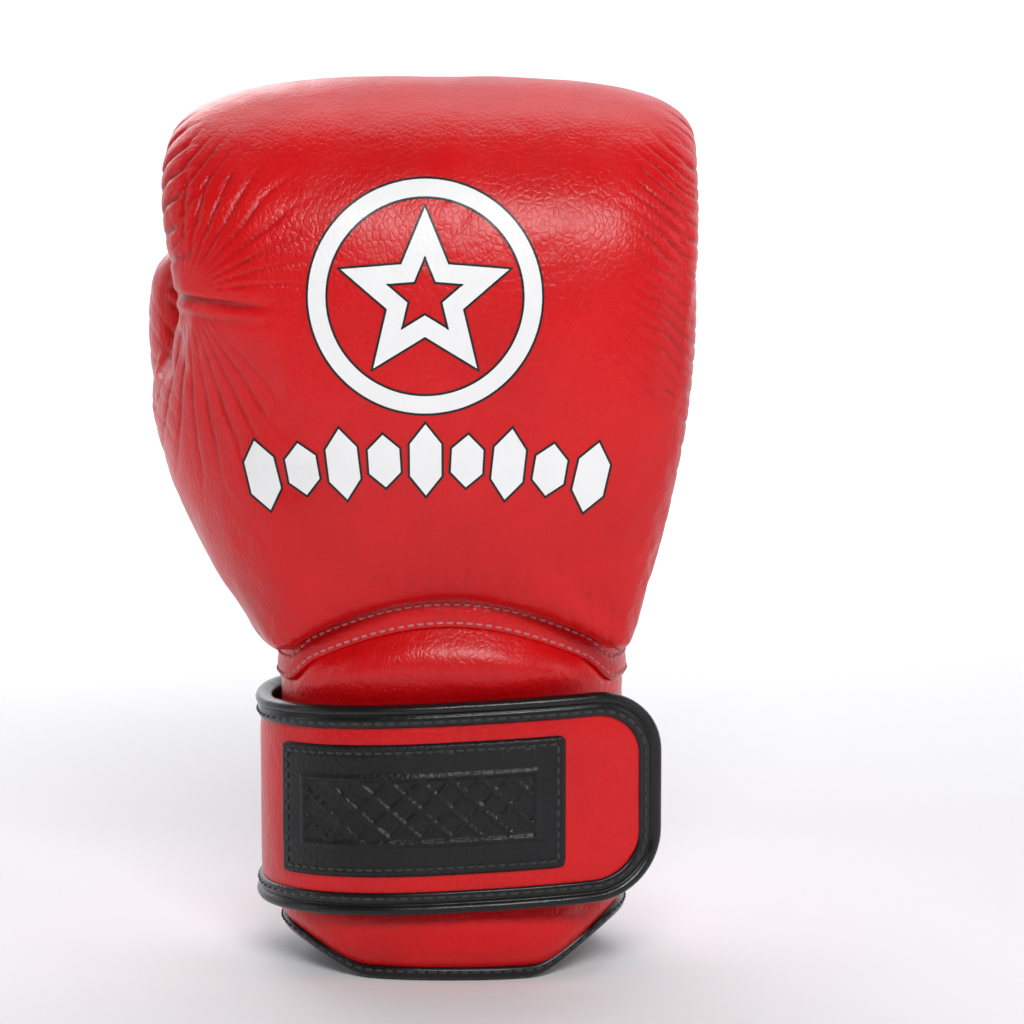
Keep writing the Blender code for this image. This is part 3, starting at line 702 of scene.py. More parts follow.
def make_thumb_stitches(tree):
    """A row of white stitches beside the thumb's seam, up its palm side and over its tip."""
    tip = Vector(THUMB_STATIONS[-1, :3])
    aside = 2.0
    palmward = Vector((0, -1, 0))
    starts = [(Vector((thumb_seam_x(z) + aside, 60.0, z)), palmward) for z in np.linspace(134, 222, 60)]
    for turn in np.radians(np.linspace(4, 165, 60)):
        way = Vector((0, math.cos(turn), math.sin(turn)))
        starts.append((tip + Vector((aside, 0, 0)) + way * THUMB_STITCH_REACH, -way))
    path, out = [], []
    for start, way in starts:
        hit, normal, _, _ = tree.ray_cast(start * MM + WRIST, way)
        spot = np.array(hit - WRIST) / MM if hit else None
        if spot is None or abs(thumb_field(*spot[:, None])[0]) > 3.0:
            continue
        path.append(spot)
        out.append(np.array(normal))
    stitches = make_stitches("thumb_stitches", np.array(path), np.array(out), THREAD, pitch=3.4, length=2.4)
    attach(stitches, "glove")


# ---- cuff ----

WALL_AT_RIM, WALL_FULL = 5.6, 12.0
RIM_RISE_THUMB, RIM_RISE_LITTLE = 11.0, 17.0
BINDING_TALL = 4.6
CUFF_STEP = 2.0  # the cuff's grid
SLOT_X, SLOT_HALF, SLOT_TOP, SLOT_EDGE = 9.0, 7.0, 74.0, 3.2


def power(value, exponent):
    return np.sign(value) * np.abs(value) ** exponent


def oval(angle, half_x, half_y):
    """x and y on the cuff's rounded rectangle with these half sizes, at angles in degrees."""
    turn = np.radians(angle)
    return half_x * power(np.cos(turn), 2 / CUFF_SQUARE), half_y * power(np.sin(turn), 2 / CUFF_SQUARE)


def rim(aside):
    """Height of the cuff's lower edge, for the cosine of the angle round it."""
    rise = np.where(aside > 0, RIM_RISE_LITTLE, RIM_RISE_THUMB)
    return rise * smooth((np.abs(aside) - 0.42) / 0.58)


def cuff_reach(height):
    return -4.0 * (1 - smooth(height / 20.0)) - 2.0 * smooth((height - 96.0) / 30.0)


def wall(height):
    return WALL_AT_RIM + (WALL_FULL - WALL_AT_RIM) * smooth((height - 6.0) / 24.0)


def cuff_spot(angle, height, off):
    """(points, outward directions) on the cuff, this far off its outer face."""
    grow = cuff_reach(height) + off
    x, y = oval(angle, CUFF_HALF[0] + grow, CUFF_HALF[1] + grow)
    ahead = np.stack(oval(angle + 0.6, CUFF_HALF[0] + grow, CUFF_HALF[1] + grow), -1)
    behind = np.stack(oval(angle - 0.6, CUFF_HALF[0] + grow, CUFF_HALF[1] + grow), -1)
    way = ahead - behind
    way /= np.linalg.norm(way, axis=-1, keepdims=True)
    out = np.stack((way[..., 1], -way[..., 0], np.zeros_like(x)), -1)
    return np.stack((x, y, height + 0 * x), -1), out


def angle_at(x, half_x):
    """Where on the palm half of a rounded rectangle of this half width x has this value."""
    turn = math.degrees(math.acos((abs(x) / half_x) ** (CUFF_SQUARE / 2)))
    return turn if x > 0 else 180 - turn


def distance_along(path):
    steps = np.linalg.norm(np.diff(path, axis=0), axis=1)
    return np.concatenate(((0,), np.cumsum(steps)))


def even_angles(count, start=0.0, end=360.0):
    """Angles round the cuff that lie at equal distances from each other."""
    fine = np.linspace(start, end, 2000)
    gone = distance_along(np.stack(oval(fine, *CUFF_HALF), -1))
    return np.interp(np.linspace(0, gone[-1], count), gone, fine)


def slot_field(x, y, z, half, top):
    """Distance to the hairpin slot on the palm side."""
    past = np.maximum(0.0, z - (top - half))
    gap = np.hypot(x - SLOT_X, past) - half
    return np.maximum(gap, 8.0 - y)


def cuff_field(step):
    """(distance grid, corner) of the padded wall with its slot."""
    low = np.array((-68.0, -54.0, 0.0))
    x, y, z = grid_places(low, (68.0, 54.0, 136.0), step)
    grow = cuff_reach(z)
    field = np.abs(x / (CUFF_HALF[0] + grow)) ** CUFF_SQUARE
    field += np.abs(y / (CUFF_HALF[1] + grow)) ** CUFF_SQUARE
    out = metric(field ** (1 / CUFF_SQUARE), step)
    aside = np.sign(x) * np.abs(x / CUFF_HALF[0]) ** (CUFF_SQUARE / 2)
    bottom = rim(np.clip(aside, -1, 1)) + BINDING_TALL - 1.5
    top = seam_low(x, y) + 2.0
    crown = 4.6 * window(z, 92, 106) * smooth((top - z) / 12.0)
    crown += 1.8 * smooth((27.0 - z) / 7.0) * smooth((z - bottom) / 8.0)
    crown += 0.5 * window(z, 24, 34, 82, 92)
    body = blend_max(out - crown, -(out + wall(z)), 2.5)
    body = blend_max(body, z - top, 4.0)
    body = blend_max(body, bottom - z, 3.0)
    slot = slot_field(x, y, z, SLOT_HALF + SLOT_EDGE - 1.2, SLOT_TOP + SLOT_EDGE - 1.2)
    return blend_max(body, -slot, 2.5), low


def make_cuff():
    """The padded red wall round the wrist."""
    cuff = skin("cuff_skin", *cuff_field(CUFF_STEP), CUFF_STEP)
    relax(cuff, 3)
    subdivide(cuff, 1)
    points, normals = read_points(cuff), read_normals(cuff)
    x, y, z = points.T
    depth = 0.35 * soft_noise(points, 30.0, 20) + 0.12 * soft_noise(points, 11.0, 21)
    under_seam = window(seam_low(x, y) - z, -2, 0, 4, 17)
    depth += 0.22 * under_seam * fold_mix(points, np.degrees(np.arctan2(y, x)) / 13.0, 17.0, 22)
    over_rim = window(z, 2, 6, 12, 24)
    depth += 0.2 * over_rim * fold_mix(points, np.degrees(np.arctan2(y, x)) / 11.0, 17.0, 23)
    shape = np.abs(x / CUFF_HALF[0]) ** CUFF_SQUARE + np.abs(y / CUFF_HALF[1]) ** CUFF_SQUARE
    on_outside = window(shape, 0.75, 0.9)
    write_points(cuff, points - normals * (depth * on_outside)[:, None])
    # Painted shade in the folds of the cuff's leather
    mark_crease_shade(cuff)
    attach(cuff, "glove")
    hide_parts("cuff_shell", "cuff_foam")


def grid_faces(rows, columns, close_rows=False, close_columns=False):
    """Quads of a sheet of points in this many rows and columns."""
    faces = []
    for i in range(rows if close_rows else rows - 1):
        for j in range(columns if close_columns else columns - 1):
            a, b = i * columns + j, i * columns + (j + 1) % columns
            c, d = (i + 1) % rows * columns + (j + 1) % columns, (i + 1) % rows * columns + j
            faces.append((a, b, c, d))
    return faces


def face_outward(obj, merge=False):
    """Turns every face outward, after it joins points that coincide if asked."""
    mesh = bmesh.new()
    mesh.from_mesh(obj.data)
    if merge:
        bmesh.ops.remove_doubles(mesh, verts=mesh.verts, dist=1e-6)
    bmesh.ops.recalc_face_normals(mesh, faces=mesh.faces)
    mesh.to_mesh(obj.data)
    mesh.free()


def loft(name, rings, look, closed=False, caps=(True, True)):
    """A solid through closed rings of points, which may close on itself or be capped at its ends."""
    rows, columns = rings.shape[:2]
    faces = grid_faces(rows, columns, close_rows=closed, close_columns=True)
    if caps[0] and not closed:
        faces.append(tuple(range(columns))[::-1])
    if caps[1] and not closed:
        faces.append(tuple(range((rows - 1) * columns, rows * columns)))
    obj = to_object(name, rings.reshape(-1, 3), faces, look)
    face_outward(obj)
    return obj


# place along the stitch as a share of its length; lift and thickness as shares of its radius
STITCH_SECTION = ((-0.5, -0.75, 0.5), (-0.36, 0.1, 0.95), (0, 0.4, 1.1), (0.36, 0.1, 0.95), (0.5, -0.75, 0.5))


def path_at(path, gone, at):
    return np.array([np.interp(at, gone, column) for column in path.T])


def make_stitches(name, path, out, look, pitch=3.2, length=2.3, radius=0.42):
    """Thread stitches along a path, each a short round bar that dips into the leather at both ends."""
    gone = distance_along(path)
    count = max(1, int(gone[-1] / pitch))
    turns = np.radians(np.arange(0, 360, 60))
    points, faces = [], []
    for k in range(count):
        middle = (k + 0.5) * gone[-1] / count
        rings = []
        for share, lift, size in STITCH_SECTION:
            at = middle + share * length
            spot, up = path_at(path, gone, at), path_at(out, gone, at)
            aside = np.cross(path_at(path, gone, at + 0.5) - path_at(path, gone, at - 0.5), up)
            aside /= np.linalg.norm(aside)
            up /= np.linalg.norm(up)
            spot = spot + up * radius * lift
            rings.append([spot + radius * size * (math.cos(t) * aside + math.sin(t) * up) for t in turns])
        base, last, sides = len(points), len(rings) - 1, len(turns)
        points += [point for ring in rings for point in ring]
        faces += [tuple(base + i for i in face) for face in grid_faces(last + 1, sides, close_columns=True)]
        faces.append(tuple(base + i for i in range(sides))[::-1])
        faces.append(tuple(base + last * sides + i for i in range(sides)))
    return to_object(name, points, faces, look)


# share of the band's height, off the cuff's face
WELT_SECTION = (
    (-0.06, -2.0), (-0.05, 0.1), (0.0, 0.75), (0.08, 1.0), (0.16, 0.85), (0.3, 1.2), (0.5, 1.35),
    (0.7, 1.15), (0.84, 0.8), (0.94, 1.0), (1.1, 0.9), (1.3, 0.6), (1.3, -2.0),
)
WELT_STITCHES = (("lower", 0.15), ("upper", 0.84))


def make_welt():
    """The stitched leather band between the cuff and the padded hand."""
    angles = even_angles(361)[:-1]
    x0, y0 = oval(angles, *CUFF_HALF)
    low = seam_low(x0, y0)
    rings = [cuff_spot(angles, low + share * WELT_TALL, off + 0.35)[0] for share, off in WELT_SECTION]
    welt = loft("wrist_band", np.stack(rings, 1), RED, closed=True)
    subdivide(welt, 1)
    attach(welt, "glove")
    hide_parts("wrist_welt")
    for name, share in WELT_STITCHES:
        closed = np.append(angles, angles[0] + 360)
        spots, out = cuff_spot(closed, np.append(low, low[0]) + share * WELT_TALL, 1.35)
        stitches = make_stitches(f"welt_stitches_{name}", spots, out, THREAD)
        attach(stitches, "glove")


def make_rim_binding():
    """Rolled tape under the whole wall, open at the slot, with its line of stitches."""
    half_x = CUFF_HALF[0] + cuff_reach(2.0)
    reach = SLOT_HALF + SLOT_EDGE
    angles = even_angles(240, angle_at(SLOT_X - reach, half_x), angle_at(SLOT_X + reach, half_x) + 360)
    base = rim(np.cos(np.radians(angles)))
    turns = np.radians(np.arange(0, 360, 360 / 18))
    middle, half = WALL_AT_RIM / 2, WALL_AT_RIM / 2 + 1.3
    rings = []
    for turn in turns:
        depth = middle + half * power(math.cos(turn), 0.7)
        height = base + BINDING_TALL / 2 + 0.2 + (BINDING_TALL / 2 + 0.15) * power(math.sin(turn), 0.7)
        spots, _ = cuff_spot(angles, height, -depth)
        spots[:, 2] = np.maximum(height, 0.02)
        rings.append(spots)
    tape = loft("rim_tape", np.stack(rings, 1), BLACK)
    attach(tape, "glove")
    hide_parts("rim_binding")
    spots, out = cuff_spot(angles, base + BINDING_TALL * 0.72, 1.25)
    stitches = make_stitches("rim_stitches", spots, out, BLACK_THREAD, pitch=3.6, length=2.5, radius=0.4)
    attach(stitches, "glove")


def palm_face(x, height, off):
    grow = cuff_reach(height) + off
    half_x, half_y = CUFF_HALF[0] + grow, CUFF_HALF[1] + grow
    return half_y * (1 - (np.abs(x) / half_x) ** CUFF_SQUARE) ** (1 / CUFF_SQUARE)


def make_slot_binding():
    """Rolled tape up one side of the slot, round its top and down the other."""
    turns = np.linspace(math.pi, 0, 25)
    low, half = 1.2, SLOT_HALF + SLOT_EDGE / 2
    straight = np.linspace(low, SLOT_TOP - SLOT_HALF, 45)
    spots = [(SLOT_X - half, z, -1.0, 0.0) for z in straight]
    spots += [
        (SLOT_X + half * math.cos(t), SLOT_TOP - SLOT_HALF + half * math.sin(t), math.cos(t), math.sin(t))
        for t in turns[1:-1]
    ]
    spots += [(SLOT_X + half, z, 1.0, 0.0) for z in straight[::-1]]
    section = np.radians(np.arange(0, 360, 360 / 16))
    rings = []
    for x, z, aside, up in spots:
        ring = []
        for turn in section:
            across = (SLOT_EDGE / 2 + 0.35) * power(math.cos(turn), 0.8)
            px, pz = x + aside * across, max(z + up * across, 0.02)
            near, far = palm_face(px, pz, 1.1), palm_face(px, pz, -wall(pz) - 0.2)
            middle, deep = (near + far) / 2, (near - far) / 2
            ring.append((px, middle + deep * power(math.sin(turn), 0.6), pz))
        rings.append(ring)
    tape = loft("slot_tape", np.array(rings), BLACK)
    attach(tape, "glove")
    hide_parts("slot_binding")
    path = np.array([(x + a * 0.9, palm_face(x, z, 1.2), z + u * 0.9) for x, z, a, u in spots[2:-2]])
    out = np.tile((0.0, 1.0, 0.0), (len(path), 1))
    stitches = make_stitches("slot_stitches", path, out, BLACK_THREAD, pitch=3.6, length=2.5, radius=0.4)
    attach(stitches, "glove")


# ---- strap ----

STRAP_LOW, STRAP_HIGH, STRAP_SLOPE = 22.0, 92.0, 0.055
STRAP_INNER, STRAP_THICK = 3.4, 4.0
STRAP_MIDDLE, STRAP_HALF = (STRAP_LOW + STRAP_HIGH) / 2, (STRAP_HIGH - STRAP_LOW) / 2
STRAP_END_X, STRAP_END_HALF, STRAP_CORNER = 66.0, 84.0, 22.0
PIPE_WIDE, PIPE_STITCH_INSET = 7.0, 1.15
LEATHER_TRIM = PIPE_WIDE - 1.5  # the leather ends this far inside the strap's outline, under the piping
END_REACH = 14.0  # the last stretch of leather, where its height changes fastest
SEWN_OFF = STRAP_INNER + STRAP_THICK + 0.25  # where patches are sewn on
ANCHOR_ANGLE, LIFT_ANGLE, UNWRAP_ANGLE, PEEL_ANGLE = 50.0, 62.0, 132.0, 198.0
BEND_REACH = 12.0
LABEL_FROM, LABEL_LONG, PATCH_HALF = 12.25, 91.0, 22.0
BADGE_RADIUS, BADGE_ASIDE = 18.0, 14.0


def strap_line():
    """Columns of distance, x, y, out x, out y and angle, from the sewn end to the free end."""
    angles = np.linspace(ANCHOR_ANGLE, 360.0 - angle_at(STRAP_END_X, STRAP_END_HALF), 521)
    half_x = np.where(angles > 270.0, STRAP_END_HALF, CUFF_HALF[0])
    x, y = oval(angles, half_x, CUFF_HALF[1])
    way = np.stack((np.gradient(x), np.gradient(y)), -1)
    for _ in range(30):
        way[1:-1] = (way[:-2] + 2 * way[1:-1] + way[2:]) / 4
    way /= np.linalg.norm(way, axis=1, keepdims=True)
    gone = distance_along(np.stack((x, y), -1))
    return np.column_stack((gone, x, y, way[:, 1], -way[:, 0], angles))


LINE = strap_line()
STRAP_LENGTH = LINE[-1, 0]
LIFT, UNWRAP, PEEL = (np.interp(a, LINE[:, 5], LINE[:, 0]) for a in (LIFT_ANGLE, UNWRAP_ANGLE, PEEL_ANGLE))


def strap_spot(along, off, height):
    """Points on the strap: along it, off the cuff and at a height before the slope."""
    along, off, height = np.broadcast_arrays(np.asarray(along, float), off, height)
    x, y, out_x, out_y = (np.interp(along, LINE[:, 0], LINE[:, c]) for c in (1, 2, 3, 4))
    climb = STRAP_SLOPE * np.maximum(0.0, along - PEEL)
    return np.stack((x + out_x * off, y + out_y * off, height + climb), -1)


def strap_out(along):
    out_x, out_y = (np.interp(along, LINE[:, 0], LINE[:, c]) for c in (3, 4))
    return np.stack((out_x, out_y, 0 * out_x), -1)


def half_height(along, trim):
    """Half the strap's height, rounded at its free end, this far in from its outline."""
    full, corner = STRAP_HALF - trim, STRAP_CORNER - trim
    into = np.clip(along - (STRAP_LENGTH - trim - corner), 0.0, corner)
    return full - corner + np.sqrt(np.maximum(0.0, corner**2 - into**2))


# where the strap's leather is divided: in the middle of a stretch that follows one body
PIECES = (
    ("anchor", 0.0, (LIFT + UNWRAP) / 2, "glove", "strap_palm_part", LIFT),
    ("palm", (LIFT + UNWRAP) / 2, (UNWRAP + PEEL) / 2, "strap_palm_part", "strap_side_part", UNWRAP),
    ("tip", (UNWRAP + PEEL) / 2, STRAP_LENGTH, "strap_side_part", "strap_tip_part", PEEL),
)


LEATHER_NODES = {"anchor": ("strap_anchor",), "palm": ("strap_palm", "strap_side"), "tip": ("strap_tip",)}


def bend_with_strap(obj, hinge):
    start, end = strap_spot(np.array((hinge - BEND_REACH, hinge + BEND_REACH)), STRAP_INNER, STRAP_MIDDLE)
    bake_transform(obj)


def make_strap_leather():
    for name, start, end, first, second, hinge in PIECES:
        last = name == "tip"
        stop = end - LEATHER_TRIM if last else end
        places = np.linspace(start, stop, int((stop - start) / 1.4) + 1)
        if last:
            turn = np.linspace(0, 1, 12)[1:]
            rounded = stop - END_REACH * np.cos(turn * math.pi / 2)
            places = np.concatenate((places[places < stop - END_REACH], rounded))
        half = half_height(places, LEATHER_TRIM)
        across = np.linspace(-1, 1, 37)
        flow = np.sign(across) * np.abs(across) ** 0.9
        columns = []
        for k in flow:
            height = STRAP_MIDDLE + k * half
            edge = smooth((1 - abs(k)) / 0.22)
            spots = np.stack((places, height), -1)
            rise = 0.35 * edge + 0.12 * soft_noise(np.column_stack((spots, 0 * places)), 13.0, 31)
            rise += 0.05 * soft_noise(np.column_stack((spots, 0 * places)), 5.0, 32)
            columns.append(strap_spot(places, STRAP_INNER + STRAP_THICK - 0.35 + rise * edge, height))
        for k in flow[::-1]:
            columns.append(strap_spot(places, STRAP_INNER + 0.1, STRAP_MIDDLE + k * half))
        strap = loft(f"strap_leather_{name}", np.stack(columns, 1), RED, caps=(name == "anchor", last))
        bend_with_strap(strap, hinge)
        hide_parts(*LEATHER_NODES[name])


# (reach out from the leather's edge, off the cuff): a stitched flange, a groove and a rolled bead
PIPE_SECTION = (
    (-0.6, 6.9), (-0.5, 7.9), (0.1, 8.25), (1.2, 8.2), (2.3, 8.25), (3.0, 8.0), (3.35, 7.55),
    (3.7, 8.1), (4.4, 8.85), (5.3, 9.05), (6.2, 8.7), (6.85, 7.9), (7.05, 6.8), (6.95, 5.2),
    (6.4, 3.9), (5.4, 3.3), (3.6, 3.2), (0.6, 3.2), (-0.3, 3.6),
)


def pipe_path(start, end, round_end):
    """Rows of distance along, height, and the way out of the leather's edge."""
    inner, corner = STRAP_HALF - PIPE_WIDE, STRAP_CORNER - PIPE_WIDE
    far = STRAP_LENGTH - PIPE_WIDE - corner if round_end else end
    places = np.linspace(start, far, int((far - start) / 1.6) + 1)
    one = np.ones_like(places)
    edges = [(places, (STRAP_MIDDLE + side * inner) * one, 0 * one, side * one) for side in (1, -1)]
    top, bottom = (np.column_stack(edge) for edge in edges)
    if not round_end:
        return [("top", top), ("bottom", bottom)]
    rows = [top]
    for side, turns in ((1, np.linspace(90, 0, 17)[1:]), (-1, np.linspace(0, -90, 17)[:-1])):
        c, s = np.cos(np.radians(turns)), np.sin(np.radians(turns))
        height = STRAP_MIDDLE + side * (inner - corner) + corner * s
        rows.append(np.column_stack((far + corner * c, height, c, s)))
    return [("edge", np.concatenate((*rows, bottom[::-1])))]


def make_strap_piping():
    replaced = {
        "anchor_top": ("strap_anchor_piping_top",),
        "anchor_bottom": ("strap_anchor_piping_bottom",),
        "palm_top": ("strap_palm_piping_top", "strap_side_piping_top"),
        "palm_bottom": ("strap_palm_piping_bottom", "strap_side_piping_bottom"),
        "tip_edge": ("strap_tip_piping",),
    }
    for name, start, end, first, second, hinge in PIECES:
        for side, rows in pipe_path(start, end, name == "tip"):
            along, height, out_along, out_up = rows.T
            columns = []
            for reach, off in PIPE_SECTION:
                place = np.minimum(along + reach * out_along, STRAP_LENGTH)
                columns.append(strap_spot(place, off, height + reach * out_up))
            caps = (name == "anchor", False)
            piping = loft(f"strap_tape_{name}_{side}", np.stack(columns, 1), BLACK, caps=caps)
            bend_with_strap(piping, hinge)
            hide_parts(*replaced[f"{name}_{side}"])
            place = np.minimum(along + PIPE_STITCH_INSET * out_along, STRAP_LENGTH)
            path = strap_spot(place, 8.3, height + PIPE_STITCH_INSET * out_up)
            sewn = f"strap_stitches_{name}_{side}"
            stitches = make_stitches(sewn, path, strap_out(along), BLACK_THREAD, pitch=4.0, length=2.9)
            bend_with_strap(stitches, hinge)


def label_relief(u, v):
    """A pressed band of crossing ribs inside a raised frame, in millimetres."""
    pitch = 9.5
    ribs = 0 * u
    for slant in (-1, 1):
        gap = np.abs((u + slant * v) / pitch - np.round((u + slant * v) / pitch)) * pitch
        ribs = np.maximum(ribs, smooth((1.25 - gap) / 0.7))
    edge = np.minimum(36.0 - np.abs(u), 10.5 - np.abs(v))
    band = smooth(edge / 0.6)
    rail = smooth((edge + 1.6) / 0.6) * (1 - smooth((edge - 0.1) / 0.6))
    return 0.6 * ribs * band + 0.75 * rail - 0.25 * band


def make_label():
    """The black grained patch, pressed with a plain pattern and sewn down all round."""
    half_u, half_v, corner = LABEL_LONG / 2, PATCH_HALF, 2.5
    u = np.linspace(-half_u, half_u, 171)
    v = np.linspace(-half_v, half_v, 85)
    grid_u, grid_v = np.meshgrid(u, v, indexing="ij")
    past_u, past_v = np.abs(grid_u) - (half_u - corner), np.abs(grid_v) - (half_v - corner)
    out = np.hypot(np.maximum(past_u, 0), np.maximum(past_v, 0))
    pull = np.where(out > corner, corner / np.maximum(out, 1e-6), 1.0)
    flat_u = np.where(past_u > 0, np.sign(grid_u) * (half_u - corner + past_u * pull), grid_u)
    flat_v = np.where(past_v > 0, np.sign(grid_v) * (half_v - corner + past_v * pull), grid_v)
    edge = np.minimum(half_u - np.abs(grid_u), half_v - np.abs(grid_v))
    spots = np.stack((grid_u.ravel(), grid_v.ravel(), 0 * grid_u.ravel()), -1)
    rise = 1.15 * np.sqrt(np.clip(edge / 0.9, 0, 1)) - 0.22 * np.exp(-(((edge - 2.6) / 0.7) ** 2))
    rise += label_relief(grid_u, grid_v) + 0.1 * soft_noise(spots, 9.0, 41).reshape(grid_u.shape)
    middle = PEEL + LABEL_FROM + half_u
    top = strap_spot(middle + flat_u, SEWN_OFF + rise, STRAP_MIDDLE + flat_v)
    faces = [face[::-1] for face in grid_faces(*top.shape[:2])]
    label = to_object("label_leather", top.reshape(-1, 3), faces, LABEL)
    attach(label, "strap_tip_part")
    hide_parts("label_patch")
    inset = 2.6
    box_u, box_v = half_u - inset, half_v - inset
    corners = ((-box_u, -box_v), (box_u, -box_v), (box_u, box_v), (-box_u, box_v))
    for k in range(4):
        (u0, v0), (u1, v1) = corners[k], corners[(k + 1) % 4]
        line_u, line_v = np.linspace(u0, u1, 60), np.linspace(v0, v1, 60)
        path = strap_spot(middle + line_u, STRAP_INNER + STRAP_THICK + 1.35, STRAP_MIDDLE + line_v)
        stitches = make_stitches(
            f"label_stitches_{k}", path, strap_out(middle + line_u), BLACK_THREAD, 3.3, 2.4, 0.4
        )
        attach(stitches, "strap_tip_part")


def star_share(turn, radius, tips=5, inner=0.42):
    """How far inside a star's outline a point lies: above 0 inside it."""
    part = (turn / (2 * math.pi) * tips) % 1.0
    part = np.abs(part - 0.5) * 2
    angle = math.pi / tips
    # the outline runs straight from a tip at part 1 to an inner corner at part 0
    tip = np.array((math.cos(angle), math.sin(angle)))
    way = tip - np.array((inner, 0.0))
    px, py = radius * np.cos(part * angle), radius * np.sin(part * angle)
    return -(way[1] * (px - inner) - way[0] * py) / np.hypot(*way)


def badge_look():
    """White coated leather, with a blue star and red rings."""
    look = Look("badge_print")
    worn = look.spread(look.noise(160.0, 4.0, 0.6), 0.3, 0.7)
    base = look.mix(worn, (0.7, 0.7, 0.69), (0.8, 0.8, 0.8))
    base = look.mix(look.attribute("star_ink"), base, (0.02, 0.05, 0.24))
    base = look.mix(look.attribute("ring_ink"), base, (0.5, 0.01, 0.015))
    look.join(base, "Base Color")
    look.join(look.bump(look.cells(900.0), 0.00004, 0.5), "Normal")
    look.fixed(Roughness=0.4, Coat_Weight=0.15, Coat_Roughness=0.2)
    return look.material


def make_badge():
    """A round white patch with a raised rim, a ring and a star."""
    radii = np.linspace(0.0, 1.0, 40)
    turns = np.linspace(0, 2 * math.pi, 161)[:-1]
    r, t = np.meshgrid(radii, turns, indexing="ij")
    star = star_share(t - math.pi / 2, r / 0.55)
    rise = 1.0 * np.sqrt(np.clip((1 - r) / 0.05, 0, 1)) + 0.35 * smooth(star / 0.05)
    rings = np.exp(-(((r - 0.92) / 0.028) ** 2)) + np.exp(-(((r - 0.68) / 0.025) ** 2))
    rise += 0.35 * rings
    middle = (LIFT + UNWRAP) / 2 + BADGE_ASIDE
    along = middle + BADGE_RADIUS * r * np.cos(t)
    height = STRAP_MIDDLE + BADGE_RADIUS * r * np.sin(t)
    spots = strap_spot(along, SEWN_OFF + rise, height)
    faces = grid_faces(*spots.shape[:2], close_columns=True)
    badge = to_object("badge_disc", spots.reshape(-1, 3), faces, badge_look())
    mark(badge, "star_ink", smooth(star / 0.03 + 0.5))
    mark(badge, "ring_ink", np.clip(rings * 1.4 - 0.2, 0, 1))
    face_outward(badge, merge=True)
    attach(badge, "strap_palm_part")
    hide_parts("round_badge")


# ---- print on the back of the hand ----

PRINT_X, PRINT_Z = -7.0, 228.0
RING_RADII, STAR_TIPS, STAR_INNER = (37.0, 31.5), (28.0, 13.0), 0.45
ROW_Z, ROW_STEP, ROW_DROP, ROW_LEAN = 176.0, 13.2, 0.0021, 0.0042
LOZENGE_WIDE, LOZENGE_TALL, LOZENGE_SHORT = 5.0, 11.5, 8.5
PRINT_EDGE = 0.75


def outline_star(tips, outer):
    angles = np.radians(90.0 + np.arange(2 * tips) * 180.0 / tips)
    radii = np.where(np.arange(2 * tips) % 2 == 0, outer, STAR_INNER * outer)
    return np.stack((radii * np.cos(angles), radii * np.sin(angles)), -1)


def outline_circle(radius):
    angles = np.linspace(0, 2 * math.pi, 180, endpoint=False)
    return np.stack((radius * np.cos(angles), radius * np.sin(angles)), -1)


def outline_lozenge(tall, lean):
    shoulder = tall * 0.45
    right = ((0, -tall), (LOZENGE_WIDE, -shoulder), (LOZENGE_WIDE, shoulder))
    left = ((0, tall), (-LOZENGE_WIDE, shoulder), (-LOZENGE_WIDE, -shoulder))
    c, s = math.cos(lean), math.sin(lean)
    return np.array(right + left) @ np.array(((c, s), (-s, c)))


def even_outline(outline, steps):
    """The same closed outline with each side divided into this many steps."""
    sides = zip(outline, np.roll(outline, -1, axis=0))
    return np.array([a + (b - a) * k / steps for a, b in sides for k in range(steps)])


def grow_outline(outline, reach):
    """The outline moved out by this reach, its corners cut no further than twice that."""
    ahead, behind = np.roll(outline, -1, axis=0) - outline, outline - np.roll(outline, 1, axis=0)
    normal = []
    for way in (ahead, behind):
        way = way / np.linalg.norm(way, axis=1, keepdims=True)
        normal.append(np.stack((way[:, 1], -way[:, 0]), -1))
    middle = normal[0] + normal[1]
    middle /= np.maximum(np.linalg.norm(middle, axis=1, keepdims=True), 1e-6)
    stretch = 1 / np.maximum(np.einsum("ij,ij->i", middle, normal[0]), 0.5)
    return outline + middle * (reach * stretch)[:, None]


def flat_sheet(outer, hole=None):
    """(points, faces) of the area inside an outline, or between two with equal counts of points."""
    if hole is None:
        middle = outer.mean(axis=0)
        shares = np.linspace(0, 1, max(3, int(np.linalg.norm(outer - middle, axis=1).max() / 1.6)))
        rings = [middle + (outer - middle) * share for share in shares]
    else:
        width = np.linalg.norm(outer - hole, axis=1).max()
        rings = [hole + (outer - hole) * share for share in np.linspace(0, 1, max(2, int(width / 1.4) + 1))]
    rows = np.array(rings)
    return rows.reshape(-1, 2), grid_faces(rows.shape[0], rows.shape[1], close_columns=True)


def lay_on(tree, name, sheets, lift, look):
    """Presses flat shapes, given in x and z, onto the back of the hand."""
    points, faces = [], []
    for flat, quads in sheets:
        base = len(points)
        for x, z in flat:
            start = Vector((x, -150.0, z)) * MM + WRIST
            hit, normal, _, _ = tree.ray_cast(start, Vector((0, 1, 0)))
            points.append((np.array(hit + normal * lift * MM) - np.array(WRIST)) / MM)
        faces += [tuple(base + i for i in quad) for quad in quads]
    obj = to_object(name, points, faces, look)
    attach(obj, "glove")


